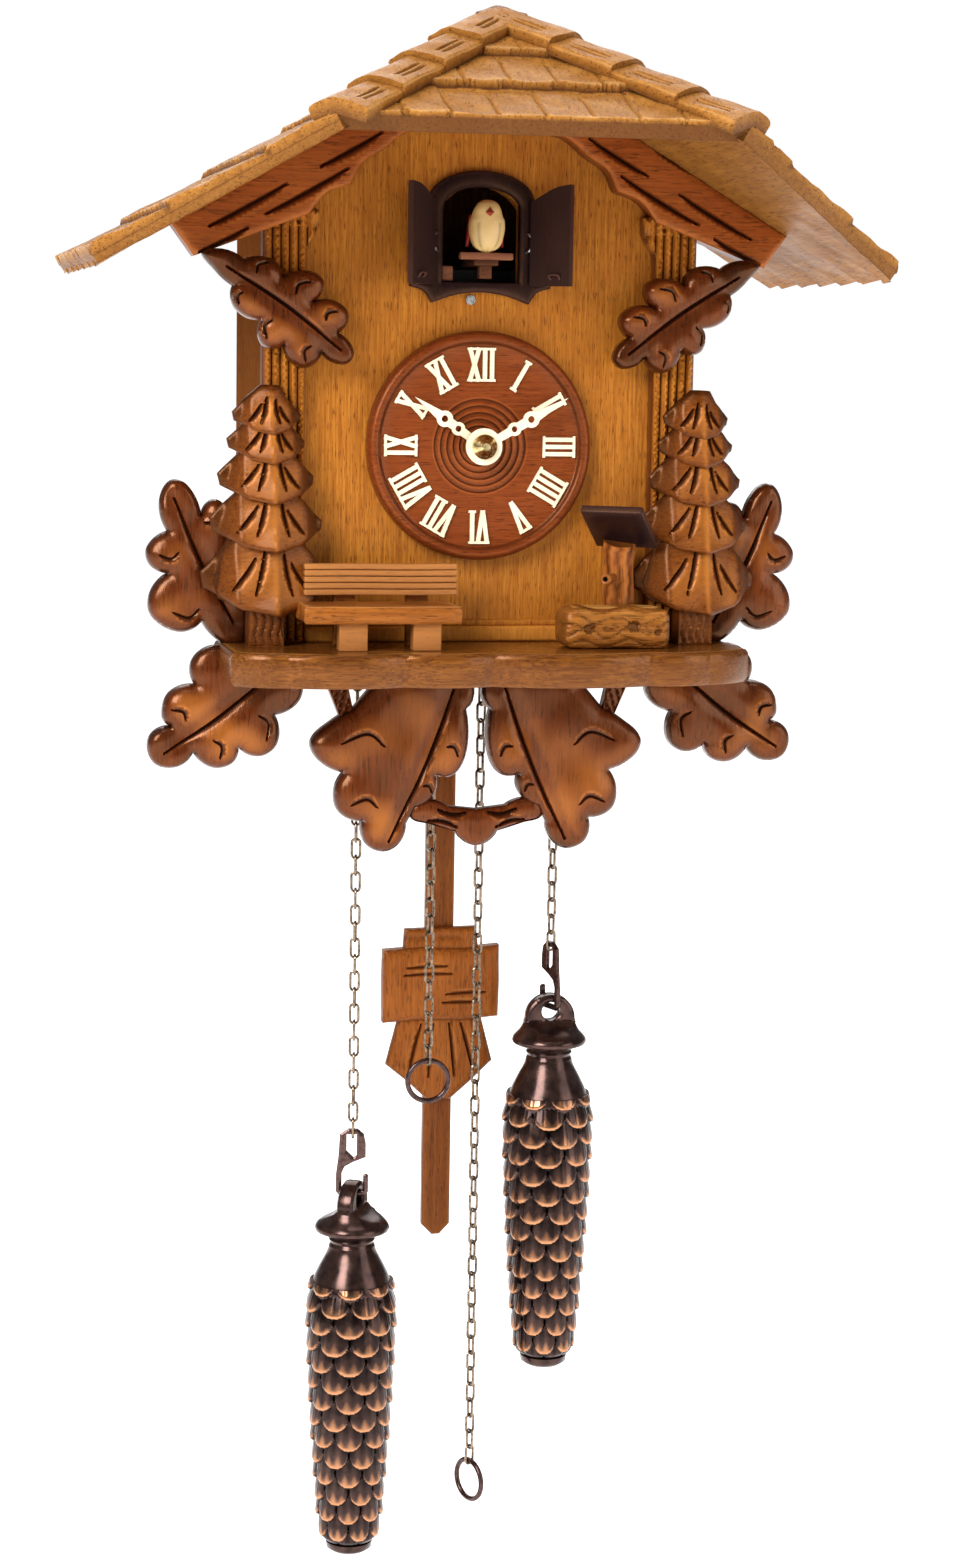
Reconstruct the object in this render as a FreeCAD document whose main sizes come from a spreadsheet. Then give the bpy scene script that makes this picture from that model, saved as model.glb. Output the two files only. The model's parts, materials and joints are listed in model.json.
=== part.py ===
import FreeCAD, Part
import math
import os
from FreeCAD import Placement, Rotation, Vector

# Chalet cuckoo clock.  The part frame has its origin in the hanging hole at the wall plane, +X to the
# right seen from the front, +Y into the wall and +Z up.  Pieces are laid out from the dial: its centre
# on the front panel's face is the layout datum, and every Placement shifts from there to the origin.

SIZES = [
    ("case_depth", 80.0, "front panel face to the wall"),
    ("hang_drop", 90.0, "dial centre to the hanging hole above it"),
    ("case_half", 58.7, "half width over the side panels"),
    ("front_thick", 5.0, "front panel"),
    ("side_thick", 4.0, "side panels"),
    ("back_thick", 4.5, "back board"),
    ("hang_hole_radius", 4.0, "hanging hole"),
    ("back_door_half", 41.0, "half width of the back door"),
    ("back_door_low", -46.0, "lower edge of the back doorway"),
    ("back_door_top", 58.0, "upper edge of the back doorway"),
    ("ridge_top", 119.2, "roof ridge above the dial centre"),
    ("roof_angle", 30.4, "slope of the main roof, degrees"),
    ("roof_thick", 5.5, "roof boards, square to the slope"),
    ("eave_half", 113.8, "half width of the roof"),
    ("eave_front", 34.1, "roof corner in front of the panel face"),
    ("hip_half", 55.3, "half width of the front hip at its foot"),
    ("hip_front", 81.1, "foot of the front hip in front of the panel"),
    ("ridge_front", 18.3, "front end of the ridge"),
    ("cap_width", 6.5, "hip cap on each side of the hip line"),
    ("cap_thick", 2.6, "hip cap"),
    ("barge_thick", 7.5, "bargeboards"),
    ("post_outer", 62.5, "outer edge of a corner post"),
    ("post_inner", 50.0, "inner edge of a corner post"),
    ("post_thick", 6.5, "corner post"),
    ("flute_radius", 0.9, "groove in a corner post"),
    ("shelf_top", -56.0, "shelf surface below the dial centre"),
    ("shelf_thick", 9.5, "shelf board"),
    ("shelf_half", 74.5, "half width of the shelf"),
    ("leaf_thick", 6.5, "carved leaves"),
    ("carve_back", -6.8, "back of what stands in front of the posts"),
    ("dial_radius", 32.5, "dial"),
    ("dial_thick", 6.0, "dial over its rim"),
    ("dial_field", 4.6, "dial at its numeral band"),
    ("numeral_tall", 9.5, "height of a numeral"),
    ("numeral_circle", 23.0, "radius of the numerals' centres"),
    ("numeral_thick", 0.8, "relief of the numerals"),
    ("arbor_radius", 1.2, "minute arbor"),
    ("pipe_radius", 2.2, "hour pipe"),
    ("running_gap", 0.05, "radial clearance of a running fit"),
    ("hand_thick", 1.0, "hands"),
    ("minute_reach", 28.0, "minute hand from the centre to its tip"),
    ("hour_reach", 24.0, "hour hand from the centre to its tip"),
    ("frame_thick", 3.0, "cuckoo door frame"),
    ("door_half", 11.1, "half width of the cuckoo doorway"),
    ("door_low", 46.0, "foot of the cuckoo doorway"),
    ("door_spring", 66.5, "where the doorway's arch starts"),
    ("door_top", 72.6, "top of the cuckoo doorway"),
    ("leaf_wide", 14.6, "width of a cuckoo door"),
    ("leaf_gauge", 2.2, "thickness of a cuckoo door"),
    ("leaf_hinge_x", 15.1, "door hinge beside the doorway's centre"),
    ("leaf_hinge_y", -4.7, "door hinge in front of the panel"),
    ("door_open", 128.0, "opening of a cuckoo door at rest, degrees"),
    ("chain_y", 22.0, "chains behind the panel face"),
    ("weight_chain_x", 30.0, "chain to a weight, beside the centre"),
    ("ring_chain_x", 7.3, "chain to a ring, beside the centre"),
    ("chain_top", 2.0, "axle of the chain wheels"),
    ("link_pitch", 5.0, "chain pitch"),
    ("link_wire", 0.8, "wire of a link"),
    ("link_wide", 3.3, "width of a link"),
    ("ring_wire", 1.2, "wire of a pull ring"),
    ("wheel_radius", 9.2, "chain wheel"),
    ("cone_long", 116.0, "pine cone weight with its cap"),
    ("cone_radius", 14.4, "pine cone at its widest"),
    ("cap_top_left", -221.2, "top of the left weight's cap"),
    ("cap_top_right", -165.4, "top of the right weight's cap"),
    ("hook_rise", 16.0, "hook above the cap's top"),
    ("pendulum_y", 45.0, "pendulum behind the panel face"),
    ("pendulum_pivot", 2.0, "pendulum pivot beside the dial centre's height"),
    ("pendulum_tip", -245.8, "lower end of the pendulum rod"),
    ("rod_wide", 8.9, "pendulum rod"),
    ("rod_thick", 3.0, "pendulum rod"),
]

doc = FreeCAD.newDocument("cuckoo_clock")
sheet = doc.addObject("Spreadsheet::Sheet", "sizes")


def fill_sheet():
    """Writes the driving dimensions, one alias to a row."""
    for row, (alias, value, note) in enumerate(SIZES, start=1):
        sheet.set("A%d" % row, alias)
        sheet.set("B%d" % row, str(value))
        sheet.set("C%d" % row, note)
        sheet.setAlias("B%d" % row, alias)
    doc.recompute()


def mm(alias):
    """The value of one driving dimension."""
    return float(sheet.get(alias))


def bind(thing, **texts):
    """Binds properties of an object to expressions of the sheet's aliases."""
    for name, text in texts.items():
        thing.setExpression(name, text)


def locate(thing, x="0", y="0", z="0"):
    """Places an object by expressions measured from the layout datum."""
    thing.setExpression("Placement.Base.x", x)
    thing.setExpression("Placement.Base.y", "%s - sizes.case_depth" % y)
    thing.setExpression("Placement.Base.z", "%s - sizes.hang_drop" % z)
    return thing


def named(thing, label):
    thing.Label = label
    return thing


def feature(label, shape):
    """A piece whose shape comes from Part's own functions, drawn about the layout datum."""
    thing = doc.addObject("Part::Feature", label)
    thing.Shape = Part.makeCompound([shape])
    return locate(named(thing, label))


def box(label, length, width, height, x, y, z):
    """A rectangular piece by size and low corner, all given as expressions."""
    thing = doc.addObject("Part::Box", label)
    bind(thing, Length=length, Width=width, Height=height)
    return locate(named(thing, label), x, y, z)


def trace(sketch, outline):
    """Draws a closed outline: plain points are joined by lines, (through, end) pairs by arcs."""
    start = Vector(*outline[0], 0)
    here = start
    for item in outline[1:] + [outline[0]]:
        if isinstance(item[0], tuple):
            through = Vector(*item[0], 0)
            end = Vector(*item[1], 0)
            sketch.addGeometry(Part.Arc(here, through, end), False)
        else:
            end = Vector(*item, 0)
            if end.distanceToPoint(here) > 1e-6:
                sketch.addGeometry(Part.LineSegment(here, end), False)
        here = end


def origin_plane(body, role):
    return [f for f in body.Origin.OriginFeatures if f.Role == role][0]


def padded(label, outlines, role, length, reverse=False, circles=()):
    """A PartDesign body: outlines (outer first, then holes) on an origin plane, padded by length."""
    body = named(doc.addObject("PartDesign::Body", label), label)
    sketch = body.newObject("Sketcher::SketchObject", label + "_outline")
    sketch.AttachmentSupport = [(origin_plane(body, role), "")]
    sketch.MapMode = "FlatFace"
    for outline in outlines:
        trace(sketch, outline)
    for x, y, radius in circles:
        sketch.addGeometry(Part.Circle(Vector(x, y, 0), Vector(0, 0, 1), radius), False)
    pad = body.newObject("PartDesign::Pad", label + "_pad")
    pad.Profile = sketch
    pad.Reversed = reverse
    bind(pad, Length=length)
    return body


def board(label, outlines, thick, back="0", circles=()):
    """An upright board drawn in the front view; back is its rear face, thick grows to the front."""
    return locate(padded(label, outlines, "XZ_Plane", thick, circles=circles), y=back)


def slab(label, outlines, thick, low, circles=()):
    """A level board drawn in plan; low is its underside."""
    return locate(padded(label, outlines, "XY_Plane", thick, circles=circles), z=low)


def turned(label, outline, y="0"):
    """A piece turned about the hands' axis: the outline is (radius, depth) with depth into the case."""
    body = named(doc.addObject("PartDesign::Body", label), label)
    sketch = body.newObject("Sketcher::SketchObject", label + "_profile")
    sketch.AttachmentSupport = [(origin_plane(body, "XY_Plane"), "")]
    sketch.MapMode = "FlatFace"
    trace(sketch, outline)
    solid = body.newObject("PartDesign::Revolution", label + "_turning")
    solid.Profile = sketch
    solid.ReferenceAxis = (sketch, ["V_Axis"])
    solid.Angle = 360.0
    return locate(body, y=y)


def mirror_outline(outline):
    """The same outline on the other side of the centre line."""
    def flip(item):
        if isinstance(item[0], tuple):
            return (flip(item[0]), flip(item[1]))
        return (-item[0], item[1])
    return [flip(item) for item in outline]


def prism(points, direction):
    """A solid swept in a straight line from a flat polygon."""
    corners = [Vector(*p) for p in points]
    return Part.Face(Part.makePolygon(corners + corners[:1])).extrude(Vector(*direction))


def block(x0, x1, y0, y1, z0, z1):
    return Part.makeBox(x1 - x0, y1 - y0, z1 - z0, Vector(x0, y0, z0))


def rod(radius, start, end):
    """A round bar between two points."""
    a = Vector(*start)
    line = Vector(*end) - a
    return Part.makeCylinder(radius, line.Length, a, line)


def revolve_z(profile, x, y, z):
    """A solid turned about an upright axis from (radius, height) points."""
    corners = [Vector(r, 0, h) for r, h in profile]
    face = Part.Face(Part.makePolygon(corners + corners[:1]))
    solid = face.revolve(Vector(0, 0, 0), Vector(0, 0, 1), 360)
    solid.translate(Vector(x, y, z))
    return solid


def fused(shapes):
    return shapes[0].multiFuse(shapes[1:]).removeSplitter()


# ---------------------------------------------------------------- roof and case

def slope():
    return math.tan(math.radians(mm("roof_angle")))


def roof_drop():
    """Vertical thickness of the roof boards."""
    return mm("roof_thick") / math.cos(math.radians(mm("roof_angle")))


def roof_top(x):
    return mm("ridge_top") - abs(x) * slope()


def roof_under(x):
    return roof_top(x) - roof_drop()


def gable_outline(half):
    """Five-cornered case outline that fills the gable under the roof."""
    foot = mm("shelf_top")
    return [(-half, foot), (half, foot), (half, roof_under(half)), (0, roof_under(0)), (-half, roof_under(half))]


def doorway_outline(margin):
    """The arched cuckoo doorway, grown by a margin."""
    half = mm("door_half") + margin
    low = mm("door_low") - margin
    spring = mm("door_spring")
    return [(-half, low), (half, low), (half, spring), ((0, mm("door_top") + margin), (-half, spring))]


def make_case():
    half = mm("case_half")
    hand_hole = (0, 0, mm("pipe_radius") + 0.5)
    sensor_hole = (SENSOR_X, SENSOR_Z, SENSOR_RADIUS)
    board("front_panel", [gable_outline(half), doorway_outline(0.5)], "sizes.front_thick",
          "sizes.front_thick", circles=[hand_hole, sensor_hole])
    wall_height = "%.4f - sizes.shelf_top" % roof_under(half)
    wall_depth = "sizes.case_depth - sizes.front_thick - sizes.back_thick"
    box("side_panel_left", "sizes.side_thick", wall_depth, wall_height,
        "-sizes.case_half", "sizes.front_thick", "sizes.shelf_top")
    box("side_panel_right", "sizes.side_thick", wall_depth, wall_height,
        "sizes.case_half - sizes.side_thick", "sizes.front_thick", "sizes.shelf_top")
    side = mm("back_door_half") + 1.0
    low = mm("back_door_low")
    top = mm("back_door_top")
    doorway = [(-side, low), (side, low), (side, top), (-side, top)]
    body = board("back_board", [gable_outline(half), doorway], "sizes.back_thick", "sizes.case_depth",
                 circles=[(0, mm("hang_drop"), mm("hang_hole_radius"))])
    drill_pivots(body, "back_board", low - PIN_DEEP, top + PIN_DEEP, 0.0)


SENSOR_X = -2.5
SENSOR_Z = 41.1
SENSOR_RADIUS = 1.35
PIN_RADIUS = 0.9
PIN_DEEP = 3.0


def pivot_place():
    """Axis of the back door in plan, from the layout datum."""
    return mm("back_door_half") - 1.6, mm("case_depth") - 2.35


def drill_pivots(body, label, low, top, play):
    """Pockets the pivot pins' holes through a board between two heights."""
    x, y = pivot_place()
    sketch = body.newObject("Sketcher::SketchObject", label + "_pins")
    sketch.AttachmentSupport = [(origin_plane(body, "XY_Plane"), "")]
    sketch.MapMode = "FlatFace"
    depth = y - mm("case_depth")
    sketch.addGeometry(Part.Circle(Vector(x, depth, 0), Vector(0, 0, 1), PIN_RADIUS + play), False)
    sketch.AttachmentOffset = Placement(Vector(0, 0, low), Rotation())
    pocket = body.newObject("PartDesign::Pocket", label + "_pin_holes")
    pocket.Profile = sketch
    pocket.Reversed = True
    pocket.Length = top - low


def make_back_door():
    half = mm("back_door_half")
    low = mm("back_door_low") + 0.4
    top = mm("back_door_top") - 0.4
    middle = (low + top) / 2
    notch = 7.0
    outline = [(-half, low), (half, low), (half, top), (-half, top), (-half, middle + notch),
               ((-half + notch, middle), (-half, middle - notch))]
    x, y = pivot_place()
    body = board("back_door", [outline], "3.7", "sizes.case_depth - 0.5")
    solid = doc.addObject("Part::Cut", "back_door_drilled")
    tool = doc.addObject("Part::Feature", "back_door_drill")
    gap = PIN_RADIUS + mm("running_gap")
    holes = [rod(gap, (x, y, low - 1), (x, y, low + PIN_DEEP)), rod(gap, (x, y, top - PIN_DEEP), (x, y, top + 1))]
    tool.Shape = Part.makeCompound(holes)
    locate(tool)
    body.Label = "back_door_blank"
    solid.Base = body
    solid.Tool = tool
    named(solid, "back_door")
    pins = [rod(PIN_RADIUS, (x, y, low - 0.4 - PIN_DEEP), (x, y, low + PIN_DEEP - 0.1)),
            rod(PIN_RADIUS, (x, y, top - PIN_DEEP + 0.1), (x, y, top + 0.4 + PIN_DEEP))]
    feature("back_pins", Part.makeCompound(pins))


def hip_plane(y):
    """Height of the front hip's top face."""
    foot = roof_top(mm("hip_half"))
    run = mm("hip_front") - mm("ridge_front")
    return mm("ridge_top") + (y + mm("ridge_front")) / run * (mm("ridge_top") - foot)


def make_roof():
    hip_x, hip_y = mm("hip_half"), -mm("hip_front")
    eave_x, eave_y = mm("eave_half"), -mm("eave_front")
    back = mm("case_depth")
    ridge_y = -mm("ridge_front")
    drop = (0, 0, -roof_drop())
    for side, label in ((-1, "roof_left"), (1, "roof_right")):
        plan = [(0, ridge_y), (hip_x, hip_y), (eave_x, eave_y), (eave_x, back), (0, back)]
        feature(label, prism([(side * x, y, roof_top(x)) for x, y in plan], drop))
    corners = [(0, ridge_y, roof_top(0)), (-hip_x, hip_y, roof_top(hip_x)), (hip_x, hip_y, roof_top(hip_x))]
    feature("roof_hip", prism(corners, drop))
    feature("hip_caps", Part.makeCompound([hip_cap(side, i) for side in (-1, 1) for i in range(CAP_COUNT)]))


CAP_COUNT = 4
CAP_GAP = 0.5


def hip_cap(side, index):
    """One folded cap tile: a strip on the main slope and a strip on the hip, joined on the hip line."""
    start = Vector(0, -mm("ridge_front"))
    line = Vector(mm("hip_half"), -mm("hip_front")) - start
    unit = Vector(line).normalize()
    across = Vector(-unit.y, unit.x)
    reach = line.Length / CAP_COUNT
    first = start + unit * (index * reach + CAP_GAP)
    last = start + unit * ((index + 1) * reach)
    wide = mm("cap_width")
    outer = [first, last, last + across * wide, first + across * wide]
    inner = [first, last, last - across * wide, first - across * wide]
    if index == 0:
        inner[3] = Vector(0, first.y - wide)
        outer[3] = Vector(wide, first.y)
    up = (0, 0, mm("cap_thick"))
    main = prism([(side * p.x, p.y, roof_top(p.x)) for p in outer], up)
    hip = prism([(side * p.x, p.y, hip_plane(p.y)) for p in inner], up)
    return main.fuse(hip)


def bargeboard_outline():
    """Right bargeboard: straight under the roof, scalloped towards the middle of its lower edge."""
    top_x, low_x, low_z = 88.7, 82.0, 51.6
    cusps = [(50.0, 63.8), (38.2, 72.2), (29.6, 81.6), (14.0, 88.0), (0.0, 90.5)]
    outline = [(0, roof_under(0)), (top_x, roof_under(top_x)), (low_x, low_z), cusps[0]]
    for (x0, z0), (x1, z1) in zip(cusps, cusps[1:]):
        bow = 1.8
        length = math.hypot(x1 - x0, z1 - z0)
        middle = ((x0 + x1) / 2 + bow * (z1 - z0) / length, (z0 + z1) / 2 - bow * (x1 - x0) / length)
        outline.append((middle, (x1, z1)))
    return outline


def post_outline():
    inner, outer, foot = mm("post_inner"), mm("post_outer"), mm("shelf_top")
    return [(inner, foot), (outer, foot), (outer, 58.6), (inner, 63.4)]


def make_front_trim():
    right = bargeboard_outline()
    board("bargeboard_right", [right], "sizes.barge_thick")
    board("bargeboard_left", [mirror_outline(right)], "sizes.barge_thick")
    post = post_outline()
    count = 5
    step = (mm("post_outer") - mm("post_inner")) / count
    for side, label in ((-1, "corner_post_left"), (1, "corner_post_right")):
        outline = post if side > 0 else mirror_outline(post)
        blank = board(label + "_blank", [outline], "sizes.post_thick")
        tools = []
        for i in range(count):
            x = side * (mm("post_inner") + (i + 0.5) * step)
            start = (x, -mm("post_thick"), mm("shelf_top") + 1)
            tools.append(rod(mm("flute_radius"), start, (x, -mm("post_thick"), 70)))
        tool = doc.addObject("Part::Feature", label + "_flutes")
        tool.Shape = Part.makeCompound(tools)
        locate(tool)
        post_cut = doc.addObject("Part::Cut", label)
        post_cut.Base = blank
        post_cut.Tool = tool
        named(post_cut, label)


SHELF_FRONT = [(-60.0, -37.5), (-42.0, -42.0), (-27.0, -37.5), (-13.0, -40.5), (-2.0, -36.5), (24.0, -42.0),
               (52.0, -38.0)]


def make_shelf():
    half = mm("shelf_half")
    outline = [(-half, -29.0)] + SHELF_FRONT + [(half, -27.0), (half, 2.0), (62.0, 8.0), (62.0, mm("case_depth")),
                                                 (-62.0, mm("case_depth")), (-62.0, 8.0), (-half, 2.0)]
    slot_x, slot_y = 12.5, mm("pendulum_y")
    slot = [(-slot_x, slot_y - 4), (slot_x, slot_y - 4), (slot_x, slot_y + 4), (-slot_x, slot_y + 4)]
    holes = [(side * mm(name), mm("chain_y"), 3.4) for side in (-1, 1)
             for name in ("weight_chain_x", "ring_chain_x")]
    slab("shelf", [outline, slot], "sizes.shelf_thick", "sizes.shelf_top - sizes.shelf_thick", circles=holes)
    foot = box("moulding_foot", "2 * sizes.post_inner", "3.2", "2.2", "-sizes.post_inner", "-3.2", "sizes.shelf_top")
    bead = box("moulding_bead", "2 * sizes.post_inner", "2", "2.3", "-sizes.post_inner", "-2",
               "sizes.shelf_top + 2.2")
    moulding = doc.addObject("Part::MultiFuse", "base_moulding")
    moulding.Shapes = [foot, bead]
    named(moulding, "base_moulding")


# ---------------------------------------------------------------- carvings

def oak_outline(base, tip, half, lobes=3):
    """Lobed leaf outline: the width swells along the midrib and each lobe is a rounded bump."""
    foot, end = Vector(*base), Vector(*tip)
    line = end - foot
    across = Vector(-line.y, line.x).normalize()
    count = 10 * lobes
    edge = []
    for i in range(1, count):
        t = i / count
        swell = math.sin(math.pi * t ** 0.85) ** 0.6
        lobe = 0.74 + 0.26 * abs(math.sin(math.pi * (lobes * t + 0.15)))
        edge.append((t, half * swell * lobe))
    right = [foot + line * t - across * w for t, w in edge]
    left = [foot + line * t + across * w for t, w in reversed(edge)]
    return [foot] + right + [end] + left


def oak_leaf(base, tip, half, back, lobes=3):
    points = [(p.x, back, p.y) for p in oak_outline(base, tip, half, lobes)]
    return prism(points, (0, -mm("leaf_thick"), 0))


def make_leaves():
    front = mm("carve_back")
    pairs = [
        ("eave_leaf", (79.5, 51.5), (37.8, 24.8), 12.5, front),
        ("side_leaf", (69.5, -56.5), (88.5, -10.5), 15.5, 0.0),
        ("low_leaf", (52.0, -66.6), (94.5, -86.5), 14.5, -2.0),
    ]
    for label, base, tip, half, back in pairs:
        for side, name in ((-1, "left"), (1, "right")):
            leaf = oak_leaf((side * base[0], base[1]), (side * tip[0], tip[1]), half, back)
            if label == "side_leaf":
                leaf = leaf.cut(block(-mm("post_outer"), mm("post_outer"), -10, 1, -80, 40))
                leaf = leaf.cut(block(-120, 120, -60, 20, -80, mm("shelf_top")))
            if label == "low_leaf":
                top = mm("shelf_top") - mm("shelf_thick")
                leaf = leaf.cut(block(-mm("shelf_half"), mm("shelf_half"), -60, 20, top, 0))
            feature("%s_%s" % (label, name), leaf)
    make_bottom_carving()


def make_bottom_carving():
    """Two leaves hanging under the shelf, tied by a bridge, each with a stem block under the shelf."""
    back = -5.0
    under = mm("shelf_top") - mm("shelf_thick")
    parts = []
    for side in (-1, 1):
        parts.append(oak_leaf((side * 15.0, -62.0), (side * 27.3, -115.2), 20.5, back))
        parts.append(block(min(side * 37, side * 45), max(side * 37, side * 45), back - 6.5, back, -78.0, under))
    bridge = [(-22, -101), (-11, -104), (11, -104), (22, -101), (20, -108.5), (7, -109.5), (0, -114.5),
              (-7, -109.5), (-20, -108.5)]
    parts.append(prism([(x, back, z) for x, z in bridge], (0, -mm("leaf_thick"), 0)))
    carving = fused(parts).cut(block(-120, 120, -60, 20, under, 0))
    feature("bottom_carving", carving)


TREE_TIERS = [(16.5, 4.0, 9.5), (9.0, -4.0, 10.5), (1.0, -14.5, 13.0), (-9.0, -27.5, 15.0), (-21.0, -46.0, 16.5)]


def well_roof_place():
    """Where the well roof's low corner is, and how the board is turned."""
    turn = Rotation(Vector(0, 0, 1), -30) * Rotation(Vector(1, 0, 0), -31)
    return Placement(Vector(25.8, -20.5, -17.6), turn)


def well_roof_room(gap, tall):
    """The space that the well roof takes, grown by a gap, up to a height above its underside."""
    room = block(-gap, WELL_ROOF[0] + gap, -gap, WELL_ROOF[1] + gap, -gap, tall + gap)
    room.Placement = well_roof_place()
    return room


WELL_ROOF = (18.0, 21.0, 2.2)
TREE_GAP = 0.4


def tree_room(side):
    """What a tree is notched for: the bench on the left, the trough and the well roof on the right."""
    if side < 0:
        back_rail = block(-52.0 - TREE_GAP, -40, -17 - TREE_GAP, -14 + TREE_GAP, -41.6 - TREE_GAP, -32.6 + TREE_GAP)
        seat = block(-53.5 - TREE_GAP, -40, -33, -14 + TREE_GAP, -48.3 - TREE_GAP, -43.5 + TREE_GAP)
        return [back_rail, seat]
    trough = block(20, 51.0 + TREE_GAP, -28 - TREE_GAP, -14.8 + TREE_GAP, mm("shelf_top"), -44.4 + TREE_GAP)
    return [trough, well_roof_room(TREE_GAP, WELL_ROOF[2])]


def make_trees():
    """Fir trees: stacked skirts on a trunk, flat at the back."""
    back = mm("carve_back")
    for side, label in ((-1, "tree_left"), (1, "tree_right")):
        x = side * 61.5
        parts = []
        for top, low, radius in TREE_TIERS:
            parts.append(Part.makeCone(radius, 1.5, top - low, Vector(x, back - 1, low)))
        parts.append(block(x + side * 2 - 5, x + side * 2 + 5, back - 8, back, mm("shelf_top"), -40))
        tree = fused(parts).cut(block(-120, 120, back, 40, -90, 60))
        feature(label, tree.cut(Part.makeCompound(tree_room(side))))


def make_bench():
    """Garden bench: ribbed back, thick seat, two front legs and two posts that carry the back."""
    left, right, back = -52.0, -8.5, -14.0
    rail = block(left, right, back - 3, back, -41.6, -32.6)
    grooves = [rod(0.45, (left - 1, back - 3, -40 + 1.9 * i), (right + 1, back - 3, -40 + 1.9 * i)) for i in range(4)]
    feature("bench_back", rail.cut(Part.makeCompound(grooves)))
    end = 3.0
    seat = [(-50.5, back), (-13.5, back), ((-13.5 + end, -23.0), (-13.5, -32.0)), (-50.5, -32.0),
            ((-50.5 - end, -23.0), (-50.5, back))]
    slab("bench_seat", [seat], "4.8", "sizes.shelf_top + 7.7")
    legs = []
    for x in (-40.2, -19.4):
        legs.append(block(x - 4, x + 4, -30.0, -25.0, mm("shelf_top"), mm("shelf_top") + 7.7))
        legs.append(block(x - 3, x + 3, back, back + 3, mm("shelf_top"), -36.0))
    feature("bench_legs", Part.makeCompound(legs))


def make_well():
    """Water trough with a pump post, its spout and a small tilted roof."""
    foot = mm("shelf_top")
    log = block(20.5, 51.0, -28.0, -14.8, foot, -44.4)
    hollow = block(24.0, 47.5, -25.5, -17.3, -49.0, -40.0)
    feature("trough", log.cut(hollow))
    x, y = 40.0, -10.8
    radius = 4.3
    corners = []
    for i in range(8):
        angle = math.radians(22.5 + 45 * i)
        corners.append((x + radius * math.cos(angle), y + radius * math.sin(angle) * 0.85, foot))
    post = prism(corners, (0, 0, -24.5 - foot))
    spout = rod(1.3, (x - 1, y - 1, -36.8), (x - 6.2, y - 9.5, -36.8))
    post = post.cut(well_roof_room(0.0, 30.0))
    feature("well_post", post.fuse(spout))
    roof = block(0, WELL_ROOF[0], 0, WELL_ROOF[1], 0, WELL_ROOF[2])
    roof.Placement = well_roof_place()
    feature("well_roof", roof)


# ---------------------------------------------------------------- dial and hands

def make_dial():
    radius, thick, field = mm("dial_radius"), mm("dial_thick"), mm("dial_field")
    rings = [(13.5, -4.2), (11.6, -3.8), (9.7, -3.4), (7.8, -3.0), (5.9, -2.6)]
    profile = [(mm("pipe_radius") + 0.5, 0.0), (radius, 0.0), (radius, -thick + 2)]
    profile.append(((radius - 0.6, -thick + 0.6), (radius - 2, -thick)))
    profile.append(((radius - 3.4, -thick + 0.5), (radius - 4, -field)))
    depth = -field
    for ring, lower in rings:
        profile.append((ring, depth))
        profile.append((ring - 0.3, lower))
        depth = lower
    profile.append((mm("pipe_radius") + 0.5, depth))
    turned("dial", profile)
    feature("numerals", Part.makeCompound(make_numerals()))
    sensor = rod(SENSOR_RADIUS, (SENSOR_X, 4.0, SENSOR_Z), (SENSOR_X, -0.9, SENSOR_Z))
    feature("light_sensor", sensor)


HOURS = ["XII", "I", "II", "III", "IIII", "V", "VI", "VII", "VIII", "IX", "X", "XI"]
LETTER_WIDE = {"I": 2.05, "V": 4.05, "X": 4.05}
STROKE = 1.2
SERIF = 0.7


def bar(x0, z0, x1, z1, wide):
    """A straight raised stroke in the dial's plane, with its back on the numeral band."""
    line = Vector(x1 - x0, 0, z1 - z0)
    side = Vector(-line.z, 0, line.x).normalize() * (wide / 2)
    ends = [Vector(x0, 0, z0) + side, Vector(x0, 0, z0) - side, Vector(x1, 0, z1) - side, Vector(x1, 0, z1) + side]
    depth = -mm("dial_field")
    return prism([(p.x, depth, p.z) for p in ends], (0, -mm("numeral_thick"), 0))


def letter(name, x):
    """The strokes of one letter centred on x, with its serifs."""
    tall = mm("numeral_tall") / 2
    reach = LETTER_WIDE[name] / 2 - 0.35
    strokes = []
    if name == "I":
        strokes.append(bar(x, -tall, x, tall, STROKE))
    if name == "V":
        strokes.append(bar(x - reach + 0.3, tall, x, -tall, STROKE))
        strokes.append(bar(x + reach - 0.3, tall, x, -tall, STROKE))
    if name == "X":
        strokes.append(bar(x - reach + 0.3, tall, x + reach - 0.3, -tall, STROKE))
        strokes.append(bar(x + reach - 0.3, tall, x - reach + 0.3, -tall, STROKE))
    wide = LETTER_WIDE[name] / 2
    strokes.append(bar(x - wide, tall - SERIF / 2, x + wide, tall - SERIF / 2, SERIF))
    if name != "V":
        strokes.append(bar(x - wide, -tall + SERIF / 2, x + wide, -tall + SERIF / 2, SERIF))
    return strokes


def make_numerals():
    """Twelve raised numerals standing on their circle with their feet towards the centre."""
    solids = []
    for hour, text in enumerate(HOURS):
        width = sum(LETTER_WIDE[c] for c in text)
        x = -width / 2
        strokes = []
        for c in text:
            strokes += letter(c, x + LETTER_WIDE[c] / 2)
            x += LETTER_WIDE[c]
        numeral = fused(strokes)
        numeral.translate(Vector(0, 0, mm("numeral_circle")))
        numeral.rotate(Vector(0, 0, 0), Vector(0, 1, 0), 30 * hour)
        solids.append(numeral)
    return solids


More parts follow.
